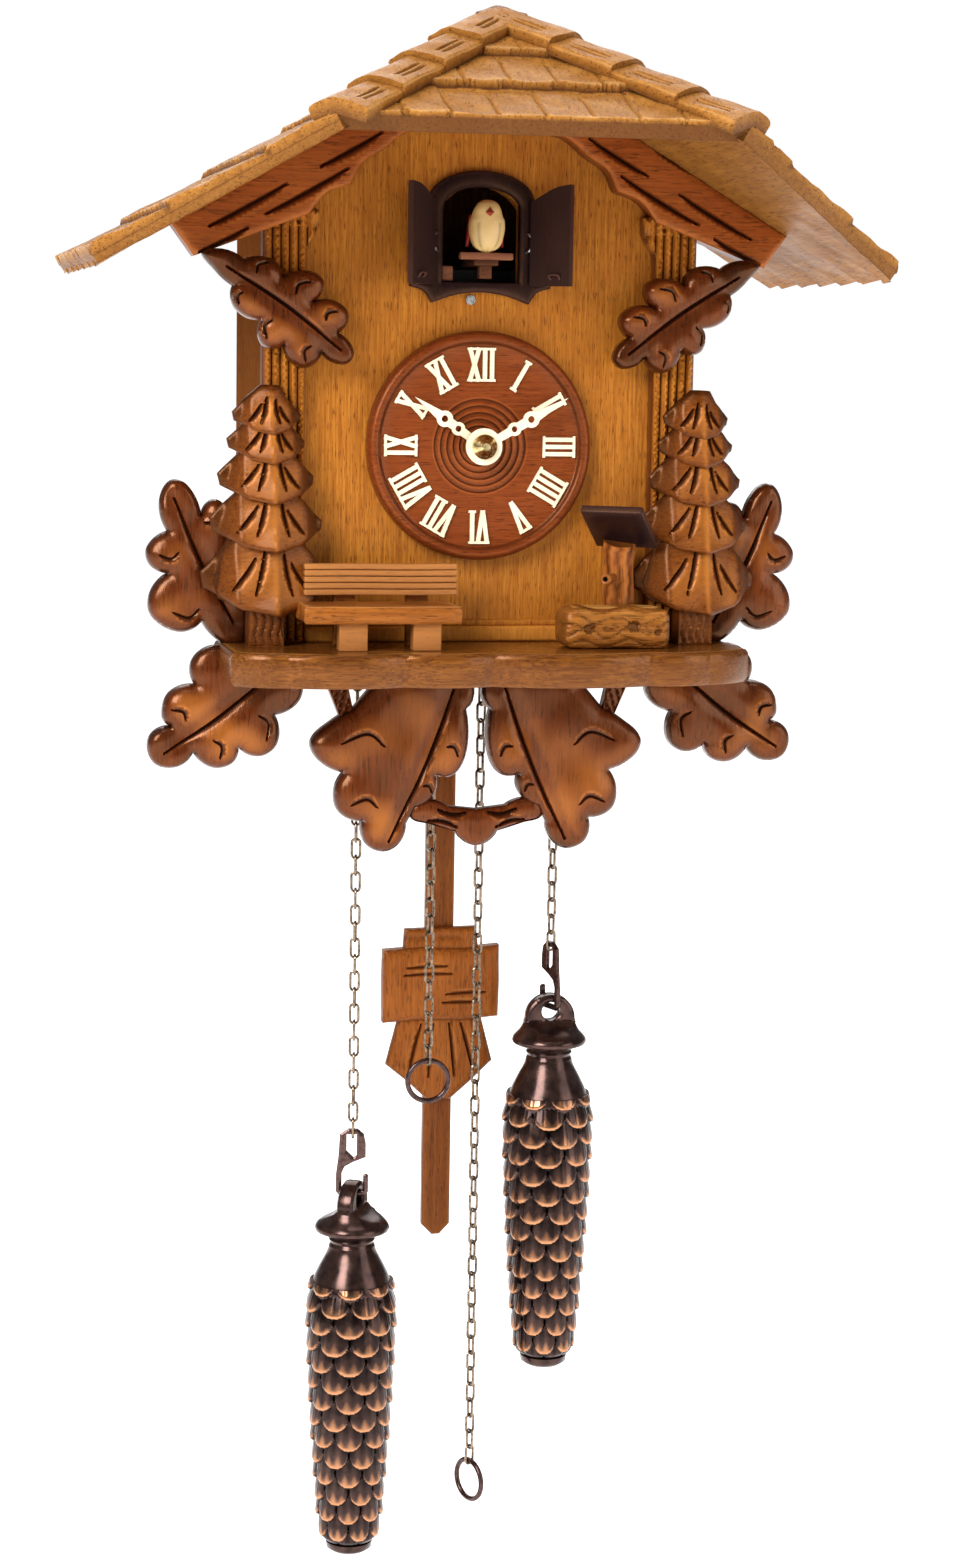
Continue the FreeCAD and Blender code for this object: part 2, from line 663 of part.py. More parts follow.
def hand_shape(reach, y, bore, angle, hub):
    """Open-work hand: a teardrop near the hub, a ring half way and a pointed tip."""
    thick = mm("hand_thick")
    blade = prism([(-1.0, y, 0), (1.0, y, 0), (1.4, y, reach * 0.62), (0, y, reach), (-1.4, y, reach * 0.62)],
                  (0, thick, 0))
    parts = [blade, rod(hub, (0, y, 0), (0, y + thick, 0))]
    eye = reach * 0.56
    parts.append(rod(2.3, (0, y, eye), (0, y + thick, eye)))
    swell = reach * 0.36
    parts.append(rod(1.9, (0, y, swell), (0, y + thick, swell)))
    hand = fused(parts)
    for radius, z in ((1.0, eye), (0.9, swell), (bore, 0)):
        hand = hand.cut(rod(radius, (0, y - 1, z), (0, y + thick + 1, z)))
    hand.rotate(Vector(0, 0, 0), Vector(0, 1, 0), angle)
    return hand


def make_hands():
    """Hour hand on its pipe, minute hand on the arbor that runs through it, and the cap nut."""
    arbor, pipe, gap = mm("arbor_radius"), mm("pipe_radius"), mm("running_gap")
    hour_y, minute_y = -8.6, -10.6
    bore = arbor + gap
    tube = rod(pipe, (0, hour_y, 0), (0, PIPE_END, 0)).cut(rod(bore, (0, hour_y - 1, 0), (0, PIPE_END + 1, 0)))
    hour = hand_shape(mm("hour_reach"), hour_y, bore, 305, 4.0)
    feature("hour_hand", hour.fuse(tube).removeSplitter())
    feature("minute_hand", hand_shape(mm("minute_reach"), minute_y, arbor, 60, 5.2))
    knob = rod(4.5, (0, MOVEMENT_BACK + 0.4, 0), (0, MOVEMENT_BACK + 3.4, 0))
    shaft = rod(arbor, (0, -12.0, 0), (0, MOVEMENT_BACK + 1, 0))
    feature("minute_arbor", shaft.fuse(knob).removeSplitter())
    nut = [(arbor, minute_y), (3.5, minute_y), (3.5, minute_y - 1.2), (1.1, minute_y - 3.6), (0, minute_y - 3.6),
           (0, -12.0), (arbor, -12.0)]
    turned("hand_nut", nut)


PIPE_END = 8.4
MOVEMENT_BACK = 18.2


def make_movement():
    """Quartz movement, the plate that carries the chain wheels, the cuckoo unit and the battery box."""
    front = mm("front_thick")
    case = block(-28, 28, front, MOVEMENT_BACK, -26, 30)
    gap = mm("running_gap")
    case = case.cut(rod(mm("pipe_radius") + gap, (0, 0, 0), (0, PIPE_END + 0.3, 0)))
    case = case.cut(rod(mm("arbor_radius") + gap, (0, 0, 0), (0, 40, 0)))
    feature("movement", case)
    inner = mm("case_half") - mm("side_thick")
    top = mm("chain_top")
    plate = [block(-inner, inner, 27, 29.5, top - 8, top + 8)]
    for side in (-1, 1):
        x = side * wheel_x()
        plate.append(rod(AXLE_RADIUS, (x, 27, top), (x, 19.6, top)))
    pivot = mm("pendulum_pivot")
    plate.append(rod(PIVOT_RADIUS, (0, 29.5, pivot), (0, mm("pendulum_y") + 5, pivot)))
    feature("chain_bracket", fused(plate))
    for side, label in ((-1, "chain_wheel_left"), (1, "chain_wheel_right")):
        feature(label, chain_wheel(side * wheel_x(), mm("chain_y"), top))
    box("cuckoo_unit", "40", "38", "20", "-20", "31", "30.2")
    holder = block(-33, 33, 52, 72, mm("shelf_top"), -36).cut(block(-31, 31, 54, 70, -54, -30))
    feature("battery_holder", holder)
    cells = [rod(7.0, (x, 62, -46.5), (x + 28.5, 62, -46.5)) for x in (-30, 1.0)]
    feature("batteries", Part.makeCompound(cells))


AXLE_RADIUS = 2.0
PIVOT_RADIUS = 1.0


def wheel_x():
    return (mm("weight_chain_x") + mm("ring_chain_x")) / 2


def chain_wheel(x, y, z):
    """Grooved wheel on its axle."""
    radius = mm("wheel_radius")
    profile = [(AXLE_RADIUS + mm("running_gap"), -2.0), (radius, -2.0), (radius, -1.4), (radius - 2, -0.4),
               (radius - 2, 0.4), (radius, 1.4), (radius, 2.0), (AXLE_RADIUS + mm("running_gap"), 2.0)]
    wheel = revolve_z(profile, 0, 0, 0)
    wheel.rotate(Vector(0, 0, 0), Vector(1, 0, 0), 90)
    wheel.translate(Vector(x, y, z))
    return wheel


# ---------------------------------------------------------------- cuckoo, doors

def make_door_frame():
    side = 15.3
    outline = [(side, 68.6), (side, 46.3), (20.3, 46.3), (20.3, 44.7), ((16.4, 43.4), (14.0, 40.2)),
               ((0.0, 43.3), (-14.0, 40.2)), ((-16.4, 43.4), (-20.3, 44.7)), (-20.3, 46.3), (-side, 46.3),
               (-side, 68.6), ((0.0, 77.2), (side, 68.6))]
    board("door_frame", [outline, doorway_outline(0.0)], "sizes.frame_thick")


def make_cuckoo_doors():
    """Arched doors, drawn closed about their hinge and turned open."""
    wide = mm("leaf_wide")
    for side, label in ((-1, "cuckoo_door_left"), (1, "cuckoo_door_right")):
        outline = [(1.0, 45.2), (-wide + 1.0, 45.2), (-wide + 1.0, 73.4), ((-wide / 2 + 1, 72.6), (1.0, 68.6))]
        if side < 0:
            outline = mirror_outline(outline)
        blank = padded(label, [outline], "XZ_Plane", "sizes.leaf_gauge")
        blank.Tip.Midplane = True
        blank.Placement = Placement(Vector(0, 0, 0), Rotation(Vector(0, 0, 1), side * mm("door_open")))
        hinge = "sizes.leaf_hinge_x" if side > 0 else "-sizes.leaf_hinge_x"
        locate(blank, hinge, "sizes.leaf_hinge_y")


def make_cuckoo():
    """Small bird on a perch bar, carried by a slide that runs back over the cuckoo unit."""
    x, y, z = 0.0, -9.0, 62.2
    body = doc.addObject("Part::Ellipsoid", "bird_body")
    body.Radius1 = 6.4
    body.Radius2 = 5.4
    body.Radius3 = 5.2
    locate(body, str(x), str(y), str(z))
    leg = doc.addObject("Part::Feature", "bird_leg")
    leg.Shape = rod(1.1, (0, y, 54.2), (0, y, 58)).fuse(Part.makeCone(1.2, 0.2, 3.0, Vector(0, y - 4.6, 63.8), Vector(0, -1, 0)))
    locate(leg)
    bird = doc.addObject("Part::MultiFuse", "bird")
    bird.Shapes = [body, leg]
    named(bird, "bird")
    perch = [block(-7.6, 7.6, -10.4, -7.4, 52.2, 54.2), block(-3.5, 3.5, -9.5, 38, 50.6, 52.2),
             block(1.5, 4.5, -9.5, -7.5, 47.0, 52.2)]
    feature("bird_perch", fused(perch))


# ---------------------------------------------------------------- chains, weights, pendulum

def link():
    """One welded link about the origin, facing forward: two straight wires joined by two half rings."""
    wire = mm("link_wire") / 2
    bend = mm("link_wide") / 2 - wire
    straight = (mm("link_pitch") + 0.12) / 2 + wire - bend
    half = Part.makeTorus(bend, wire, Vector(0, 0, 0), Vector(0, 1, 0))
    shapes = []
    for sign in (-1, 1):
        keep = block(-3, 3, -3, 3, 0, 3) if sign > 0 else block(-3, 3, -3, 3, -3, 0)
        arc = half.common(keep)
        arc.translate(Vector(0, 0, sign * straight))
        shapes.append(arc)
        shapes.append(rod(wire, (sign * bend, 0, -straight), (sign * bend, 0, straight)))
    return fused(shapes)


def strand(x, lowest, first_turn):
    """Links from the lowest link's centre up to the chain wheel; neighbours stand crosswise."""
    pitch = mm("link_pitch")
    count = int((mm("chain_top") - lowest) / pitch) + 1
    links = []
    for i in range(count):
        one = link()
        one.rotate(Vector(0, 0, 0), Vector(0, 0, 1), first_turn + 90.0 * (i % 2))
        one.translate(Vector(x, mm("chain_y"), lowest + i * pitch))
        links.append(one)
    return links


HOOK_THICK = 1.5
HOOK_EYE = [(-1.4, 0), (1.4, 0), (3.3, -1.6), (3.9, -4.5), (3.9, -8.6), (0.0, -10.2), (-2.4, -11.6), (-3.3, -13.6)]
HOOK_BEND = [(-3.3, -19.1), (3.2, -19.1), (3.2, -14.4), (3.6, -13.9), (4.3, -13.9), (4.7, -14.4), (4.7, -19.3),
             (3.6, -20.7), (-3.8, -20.7), (-5.0, -19.3), (-5.0, -14.0), (-4.3, -8.5), (-3.9, -1.8)]
HOOK_SLOT = [(-1.9, -1.6), (1.2, -1.6), (1.2, -8.2), (0.2, -8.8), (-1.9, -6.8)]


def hook(x, top, turn):
    """Flat hook: a slotted eye for the chain, a shank and a bend with an upturned tip, cut from one plate."""
    plate = prism([(u, HOOK_THICK / 2, w) for u, w in HOOK_EYE + HOOK_BEND], (0, -HOOK_THICK, 0))
    slot = prism([(u, HOOK_THICK, w) for u, w in HOOK_SLOT], (0, -2 * HOOK_THICK, 0))
    plate = plate.cut(slot)
    plate.rotate(Vector(0, 0, 0), Vector(0, 0, 1), turn)
    plate.translate(Vector(x, mm("chain_y"), top))
    return plate


def cone_profile():
    """Half outline of the weight below its cap top: cap bell, neck and cone with stepped scale rows."""
    radius, long = mm("cone_radius"), mm("cone_long")
    profile = [(0, -1.0), (7.2, -1.0), (8.2, -8.0), (11.0, -13.0), (10.4, -14.6), (6.2, -17.0), (5.9, -19.5)]
    shoulder, rows = -24.0, 14
    profile.append((9.5, shoulder))
    tall = (long + shoulder - 2.0) / rows
    for i in range(rows):
        t = (i + 0.5) / rows
        swell = radius * (0.68 + 0.32 * math.sin(math.pi * min(1.0, t * 1.9 + 0.12))) if t < 0.22 else \
            radius * (1 - 0.42 * ((t - 0.22) / 0.78) ** 1.5)
        z = shoulder - i * tall
        profile.append((swell - 0.9, z - 0.15 * tall))
        profile.append((swell, z - 0.95 * tall))
    profile.append((5.5, -long))
    profile.append((0, -long))
    return profile


EYE_RADIUS = 2.9
CAP_HALF = 2.6


def weight(x, top, turn):
    """Pine cone weight: cap flattened on two sides with an eye through it."""
    body = revolve_z(cone_profile(), 0, 0, 0)
    crown = rod(7.2, (0, -CAP_HALF, -7.2), (0, CAP_HALF, -7.2))
    head = block(-12, 12, -12, 12, -7.2, 2)
    body = body.cut(head).fuse(crown.common(head))
    for near, far in ((-20, -CAP_HALF), (CAP_HALF, 20)):
        body = body.cut(block(-20, 20, near, far, -8.5, 2))
    body = body.cut(rod(EYE_RADIUS, (0, -20, -5.2), (0, 20, -5.2))).removeSplitter()
    body.rotate(Vector(0, 0, 0), Vector(0, 0, 1), turn)
    body.translate(Vector(x, mm("chain_y"), top))
    return body


def make_weights():
    """Each weight with its hook through the cap's eye, its chain, and the other strand with its pull ring."""
    y = mm("chain_y")
    for side, label, cap_turn, hook_turn in ((-1, "left", 60.0, -13.0), (1, "right", 0.0, 110.0)):
        x = side * mm("weight_chain_x")
        top = mm("cap_top_" + label)
        hook_top = top + mm("hook_rise")
        feature("cone_" + label, weight(x, top, cap_turn))
        feature("hook_" + label, hook(x, hook_top, hook_turn))
        feature("weight_chain_" + label, Part.makeCompound(strand(x, hook_top + 0.3, hook_turn + 90.0)))
    wire = mm("ring_wire") / 2
    for side, label, radius, centre, face in ((-1, "left", 7.0, -191.2, True), (1, "right", 6.9, -317.4, False)):
        x = side * mm("ring_chain_x")
        axis = Vector(0, 1, 0) if face else Vector(0.9, 0.44, 0)
        pull = Part.makeTorus(radius - wire, wire, Vector(x, y, centre), axis)
        lowest = centre + radius + mm("link_pitch") / 2 - 2 * wire + 0.1
        links = strand(x, lowest, 110.0 if face else 20.0)
        feature("ring_chain_" + label, Part.makeCompound(links + [pull]))


def make_pendulum():
    """Rod with a blunt point, hung on its pivot pin, and the carved bob on its front."""
    half, tip, pivot = mm("rod_wide") / 2, mm("pendulum_tip"), mm("pendulum_pivot")
    outline = [(0, tip), (half, tip + 3.5), (half, pivot + 5), (-half, pivot + 5), (-half, tip + 3.5)]
    board("pendulum_rod", [outline], "sizes.rod_thick", "sizes.pendulum_y + sizes.rod_thick / 2",
          circles=[(0, pivot, PIVOT_RADIUS + mm("running_gap"))])
    front = mm("pendulum_y") - mm("rod_thick") / 2
    cap = prism([(x, front, z) for x, z in ((-11.6, -156), (11.8, -156), (11.0, -148.2), (-11.2, -148.2))], (0, -3, 0))
    plate = [(-18, -154.6), (18, -153.6), (18, -176), (-18, -177.2)]
    middle = prism([(x, front, z) for x, z in plate], (0, -4.5, 0))
    skirt = [(-12.6, -174), (12.6, -174), (16.6, -190.4), (9.6, -196.6), (3.6, -202), (-3.6, -202), (-9.6, -196.6),
             (-16.6, -190.4)]
    lower = prism([(x, front, z) for x, z in skirt], (0, -3, 0))
    feature("pendulum_bob", fused([cap, middle, lower]))


# ---------------------------------------------------------------- build and write

HELPERS = ("_blank", "_flutes", "_drill", "bird_body", "bird_leg", "moulding_foot", "moulding_bead")


def subparts():
    """Every top-level solid object, without sketches, pads and tools."""
    kinds = ("PartDesign::Body", "Part::Feature", "Part::Box", "Part::Cut", "Part::MultiFuse")
    found = [o for o in doc.Objects if o.TypeId in kinds]
    return [o for o in found if not any(o.Label.endswith(h) for h in HELPERS)]


def check():
    for thing in doc.Objects:
        if {"Invalid", "Error"} & set(thing.State):
            raise RuntimeError("%s failed: %s" % (thing.Label, thing.State))
    for piece in subparts():
        if piece.Shape.isNull() or not piece.Shape.isValid():
            raise RuntimeError("%s has a bad shape" % piece.Label)


def write():
    os.makedirs("parts", exist_ok=True)
    for piece in subparts():
        piece.Shape.exportStep(os.path.join("parts", piece.Label + ".step"))
        print("%-20s solids %3d  volume %10.1f" % (piece.Label, len(piece.Shape.Solids), piece.Shape.Volume))


def main():
    fill_sheet()
    make_case()
    make_back_door()
    make_roof()
    make_front_trim()
    make_shelf()
    make_leaves()
    make_trees()
    make_bench()
    make_well()
    make_dial()
    make_hands()
    make_movement()
    make_door_frame()
    make_cuckoo_doors()
    make_cuckoo()
    make_weights()
    make_pendulum()
    doc.recompute()
    check()
    write()


main()
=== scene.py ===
"""Looks of a carved cuckoo clock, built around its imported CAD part."""
import json
import math

import bmesh
import bpy
import numpy as np
from mathutils import Matrix, Vector
from mathutils.geometry import delaunay_2d_cdt


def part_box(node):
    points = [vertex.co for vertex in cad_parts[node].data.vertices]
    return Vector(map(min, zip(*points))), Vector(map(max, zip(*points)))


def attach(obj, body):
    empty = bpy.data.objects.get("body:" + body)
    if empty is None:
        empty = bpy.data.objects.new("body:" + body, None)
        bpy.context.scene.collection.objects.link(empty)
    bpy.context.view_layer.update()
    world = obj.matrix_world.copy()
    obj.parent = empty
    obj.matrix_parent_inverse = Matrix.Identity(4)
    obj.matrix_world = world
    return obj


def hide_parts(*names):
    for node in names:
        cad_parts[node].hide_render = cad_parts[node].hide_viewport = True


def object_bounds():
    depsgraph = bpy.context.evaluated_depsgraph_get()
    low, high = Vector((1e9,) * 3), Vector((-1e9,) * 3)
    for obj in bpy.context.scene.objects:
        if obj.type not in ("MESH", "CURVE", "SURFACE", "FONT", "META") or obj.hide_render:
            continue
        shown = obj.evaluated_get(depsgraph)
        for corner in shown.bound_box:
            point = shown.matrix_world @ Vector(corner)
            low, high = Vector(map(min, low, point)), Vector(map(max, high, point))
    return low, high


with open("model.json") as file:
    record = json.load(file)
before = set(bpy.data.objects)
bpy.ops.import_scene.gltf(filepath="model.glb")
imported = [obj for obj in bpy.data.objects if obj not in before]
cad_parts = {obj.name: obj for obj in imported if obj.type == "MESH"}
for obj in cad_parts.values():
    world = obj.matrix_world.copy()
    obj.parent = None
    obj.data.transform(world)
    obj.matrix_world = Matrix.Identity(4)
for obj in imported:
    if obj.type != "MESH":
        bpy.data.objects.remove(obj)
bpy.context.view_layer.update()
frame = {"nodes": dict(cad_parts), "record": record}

# Everything below is drawn in millimetres from the dial's centre on the front panel's face.
dial_low, dial_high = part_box("dial")
MM = 0.001
CENTRE = np.array(((dial_low.x + dial_high.x) / 2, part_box("front_panel")[0].y,
                   (dial_low.z + dial_high.z) / 2))

SIDES = ((-1, "left"), (1, "right"))
CHAIN_X, RING_X, CHAIN_Y = 30.0, 7.3, 22.0  # where the weights' and the rings' strands hang


def box_mm(node):
    """Lowest and highest corner of a CAD node, in millimetres from the dial's centre."""
    low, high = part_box(node)
    return (np.array(low) - CENTRE) / MM, (np.array(high) - CENTRE) / MM


# ---------------------------------------------------------------- camera, lights, floor

CAMERA_AT = (-0.1816, -0.9370, -0.0629)
CAMERA_TURN = (12.27, -7.98, 0.94)
CAMERA_LENS = 70.53


def make_camera():
    """The camera at the photograph's viewing angle, from its turn, tilt and roll in degrees."""
    yaw, pitch, roll = (math.radians(v) for v in CAMERA_TURN)
    ahead = Vector((math.sin(yaw) * math.cos(pitch), math.cos(yaw) * math.cos(pitch), math.sin(pitch)))
    side = Vector((math.cos(yaw), -math.sin(yaw), 0))
    up = side.cross(ahead)
    across = side * math.cos(roll) + up * math.sin(roll)
    upright = -side * math.sin(roll) + up * math.cos(roll)
    data = bpy.data.cameras.new("camera")
    data.lens = CAMERA_LENS
    data.sensor_width = 36.0
    data.clip_start, data.clip_end = 0.02, 60.0
    camera = bpy.data.objects.new("camera", data)
    bpy.context.scene.collection.objects.link(camera)
    place = Matrix((across, upright, -ahead)).transposed().to_4x4()
    place.translation = Vector(CAMERA_AT)
    camera.matrix_world = place
    bpy.context.scene.camera = camera


def soft_light(name, at, target, size, power):
    """A rectangular area light aimed at a point."""
    data = bpy.data.lights.new(name, "AREA")
    data.shape = "RECTANGLE"
    data.size, data.size_y = size
    data.energy = power
    light = bpy.data.objects.new(name, data)
    bpy.context.scene.collection.objects.link(light)
    light.location = at
    light.rotation_euler = (Vector(target) - Vector(at)).to_track_quat("-Z", "Y").to_euler()


def make_studio():
    """Four soft lights, and a world that lights weakly but shows the camera plain white."""
    middle = (0, -0.02, -0.16)
    soft_light("key", (-1.15, -1.25, 0.75), middle, (0.8, 1.0), 43)
    soft_light("fill", (1.3, -1.2, 0.25), middle, (1.0, 1.2), 10)
    soft_light("top", (0.1, -0.5, 1.7), middle, (1.4, 1.0), 16)
    soft_light("back", (0.2, 1.2, 0.9), middle, (1.4, 1.4), 14)
    world = bpy.data.worlds.new("studio")
    bpy.context.scene.world = world
    world.use_nodes = True
    tree = world.node_tree
    tree.nodes.clear()
    seen = node(tree, "ShaderNodeBackground", Color=(1, 1, 1, 1), Strength=1.0)
    light = node(tree, "ShaderNodeBackground", Color=(1, 0.985, 0.96, 1), Strength=0.21)
    rays = node(tree, "ShaderNodeLightPath")
    mix = node(tree, "ShaderNodeMixShader")
    out = node(tree, "ShaderNodeOutputWorld")
    tree.links.new(rays.outputs["Is Camera Ray"], mix.inputs[0])
    tree.links.new(light.outputs[0], mix.inputs[1])
    tree.links.new(seen.outputs[0], mix.inputs[2])
    tree.links.new(mix.outputs[0], out.inputs[0])
    bpy.context.scene.view_settings.view_transform = "Standard"


def make_floor():
    """A plain pale floor well below the pendulum and the pull rings."""
    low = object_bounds()[0].z - 0.12
    mesh = bpy.data.meshes.new("floor")
    wide = 14.0
    mesh.from_pydata([(-wide, -wide, low), (wide, -wide, low), (wide, wide, low), (-wide, wide, low)], [],
                     [(0, 1, 2, 3)])
    floor = bpy.data.objects.new("floor", mesh)
    bpy.context.scene.collection.objects.link(floor)
    paint = bpy.data.materials.new("floor")
    paint.use_nodes = True
    shader = paint.node_tree.nodes["Principled BSDF"]
    shader.inputs["Base Color"].default_value = (0.8, 0.8, 0.8, 1)
    shader.inputs["Roughness"].default_value = 0.9
    shader.inputs["Emission Color"].default_value = (1, 1, 1, 1)
    shader.inputs["Emission Strength"].default_value = 0.97
    mesh.materials.append(paint)


# ---------------------------------------------------------------- materials

def node(tree, kind, **values):
    """A shader node with some of its inputs set."""
    made = tree.nodes.new(kind)
    for name, value in values.items():
        made.inputs[name.replace("_", " ")].default_value = value
    return made


def ramp(tree, source, stops):
    """A colour ramp fed by a value."""
    made = tree.nodes.new("ShaderNodeValToRGB")
    ends = made.color_ramp.elements
    while len(ends) < len(stops):
        ends.new(0.5)
    for end, (at, colour) in zip(ends, stops):
        end.position = at
        end.color = colour if len(colour) == 4 else (*colour, 1)
    tree.links.new(source, made.inputs[0])
    return made.outputs["Color"]


def mixed(tree, factor, first, second, blend="MIX"):
    """Two colours mixed by a value; each is a socket or a plain colour."""
    made = tree.nodes.new("ShaderNodeMix")
    made.data_type = "RGBA"
    made.blend_type = blend
    for socket, value in ((made.inputs[0], factor), (made.inputs[6], first), (made.inputs[7], second)):
        if isinstance(value, bpy.types.NodeSocket):
            tree.links.new(value, socket)
        elif isinstance(value, float):
            socket.default_value = value
        else:
            socket.default_value = (*value, 1)
    return made.outputs[2]


def ranged(tree, source, low, high, start=0.0, end=1.0):
    """A value from start to end, brought to low to high and held there."""
    made = tree.nodes.new("ShaderNodeMapRange")
    tree.links.new(source, made.inputs[0])
    for i, value in enumerate((start, end, low, high)):
        made.inputs[i + 1].default_value = value
    return made.outputs[0]


def noise(tree, coords, stretch, scale, detail=4.0, rough=0.55, twist=0.0):
    """Noise of a number of cells to a metre, stretched along an axis."""
    place = tree.nodes.new("ShaderNodeMapping")
    place.inputs["Scale"].default_value = stretch
    tree.links.new(coords, place.inputs["Vector"])
    made = node(tree, "ShaderNodeTexNoise", Scale=scale, Detail=detail, Roughness=rough, Distortion=twist)
    tree.links.new(place.outputs[0], made.inputs["Vector"])
    return made.outputs[0]


def new_material(name):
    """A material, its node tree, its shader, and coordinates that move with the piece."""
    made = bpy.data.materials.new(name)
    made.use_nodes = True
    tree = made.node_tree
    coords = tree.nodes.new("ShaderNodeTexCoord").outputs["Object"]
    return made, tree, tree.nodes["Principled BSDF"], coords


def stain_and_shading_masks(tree):
    """The carving's darkening as two values from 0 to 1: how far into a cut, darkened by staining and painted
    shade, and how far onto a lip, brightened by wear and painted highlights.
    """
    read = tree.nodes.new("ShaderNodeAttribute")
    read.attribute_name = "stain_and_shading"
    deep = ranged(tree, read.outputs["Fac"], 0.0, 1.0)
    worn = ranged(tree, read.outputs["Fac"], 0.0, 1.0, 0.0, -1.0)
    return deep, worn


def bumped(tree, shader, height, strength, distance):
    """Small bumps from a height value."""
    made = node(tree, "ShaderNodeBump", Strength=strength, Distance=distance)
    tree.links.new(height, made.inputs["Height"])
    tree.links.new(made.outputs[0], shader.inputs["Normal"])


GRAIN = {"x": (0.035, 1, 1), "y": (1, 0.035, 1), "z": (1, 1, 0.035)}


def wood(name, light, dark, deep, worn, along="z", fine=1500, gloss=(0.3, 0.45), coat=0.35, streak=0.75,
         patch=0.5,
         shine=0.45):
    """Stained and lacquered wood: fine streaks, pores, cloudy staining, cuts darkened by staining and painted
    shade, and lips brightened by wear and painted highlights.
    """
    made, tree, shader, coords = new_material(name)
    stretch = GRAIN[along]
    streaks = noise(tree, coords, stretch, fine, 5.0, 0.6, 0.25)
    cloud = noise(tree, coords, (1, 1, 1), 55, 3.0, 0.6)
    pores = noise(tree, coords, tuple(min(1, s * 2.4) for s in stretch), fine * 2.1, 2.0, 0.5)
    colour = ramp(tree, streaks, [(0.36, dark), (0.36 + 0.32 / max(streak, 0.2), light)])
    shade = ranged(tree, cloud, 0.0, patch, 0.42, 0.68)
    colour = mixed(tree, shade, colour, dark)
    pore = ranged(tree, pores, 0.65, 0.0, 0.36, 0.42)
    colour = mixed(tree, pore, colour, deep)
    cut, lip = stain_and_shading_masks(tree)
    colour = mixed(tree, lip, colour, worn)
    colour = mixed(tree, cut, colour, deep)
    tree.links.new(colour, shader.inputs["Base Color"])
    tree.links.new(ranged(tree, cloud, gloss[0], gloss[1], 0.35, 0.65), shader.inputs["Roughness"])
    shader.inputs["Specular IOR Level"].default_value = shine
    shader.inputs["Specular Tint"].default_value = (1.0, 0.42, 0.16, 1.0)
    shader.inputs["Coat Weight"].default_value = coat * 0.14
    shader.inputs["Coat Roughness"].default_value = 0.14
    bumped(tree, shader, streaks, 0.35, 0.00025)
    return made


def metal(name, light, dark, rough=(0.25, 0.42), metallic=1.0, grain=900, worn=None):
    """Metal darkened in its cuts by tarnish and painted shade, brightened on its lips by wear and painted
    highlights, with fine scratches.
    """
    made, tree, shader, coords = new_material(name)
    cloud = noise(tree, coords, (1, 1, 1), grain, 4.0, 0.6)
    cut, lip = stain_and_shading_masks(tree)
    colour = ramp(tree, cloud, [(0.35, dark), (0.62, light)])
    colour = mixed(tree, lip, colour, worn or tuple(min(1, c * 1.9) for c in light))
    colour = mixed(tree, cut, colour, tuple(c * 0.25 for c in dark))
    tree.links.new(colour, shader.inputs["Base Color"])
    shader.inputs["Metallic"].default_value = metallic
    tree.links.new(ranged(tree, cloud, rough[0], rough[1], 0.3, 0.7), shader.inputs["Roughness"])
    bumped(tree, shader, cloud, 0.2, 0.0001)
    return made


def moulded(name, light, dark, rough=(0.35, 0.5), grain=1800):
    """Moulded plastic or paint with a faint orange peel."""
    made, tree, shader, coords = new_material(name)
    cloud = noise(tree, coords, (1, 1, 1), grain, 3.0, 0.5)
    broad = noise(tree, coords, (1, 1, 1), grain / 12, 2.0, 0.5)
    cut, _ = stain_and_shading_masks(tree)
    colour = ramp(tree, broad, [(0.3, dark), (0.7, light)])
    colour = mixed(tree, cut, colour, tuple(c * 0.3 for c in dark))
    tree.links.new(colour, shader.inputs["Base Color"])
    tree.links.new(ranged(tree, broad, rough[0], rough[1], 0.3, 0.7), shader.inputs["Roughness"])
    bumped(tree, shader, cloud, 0.15, 0.00008)
    return made
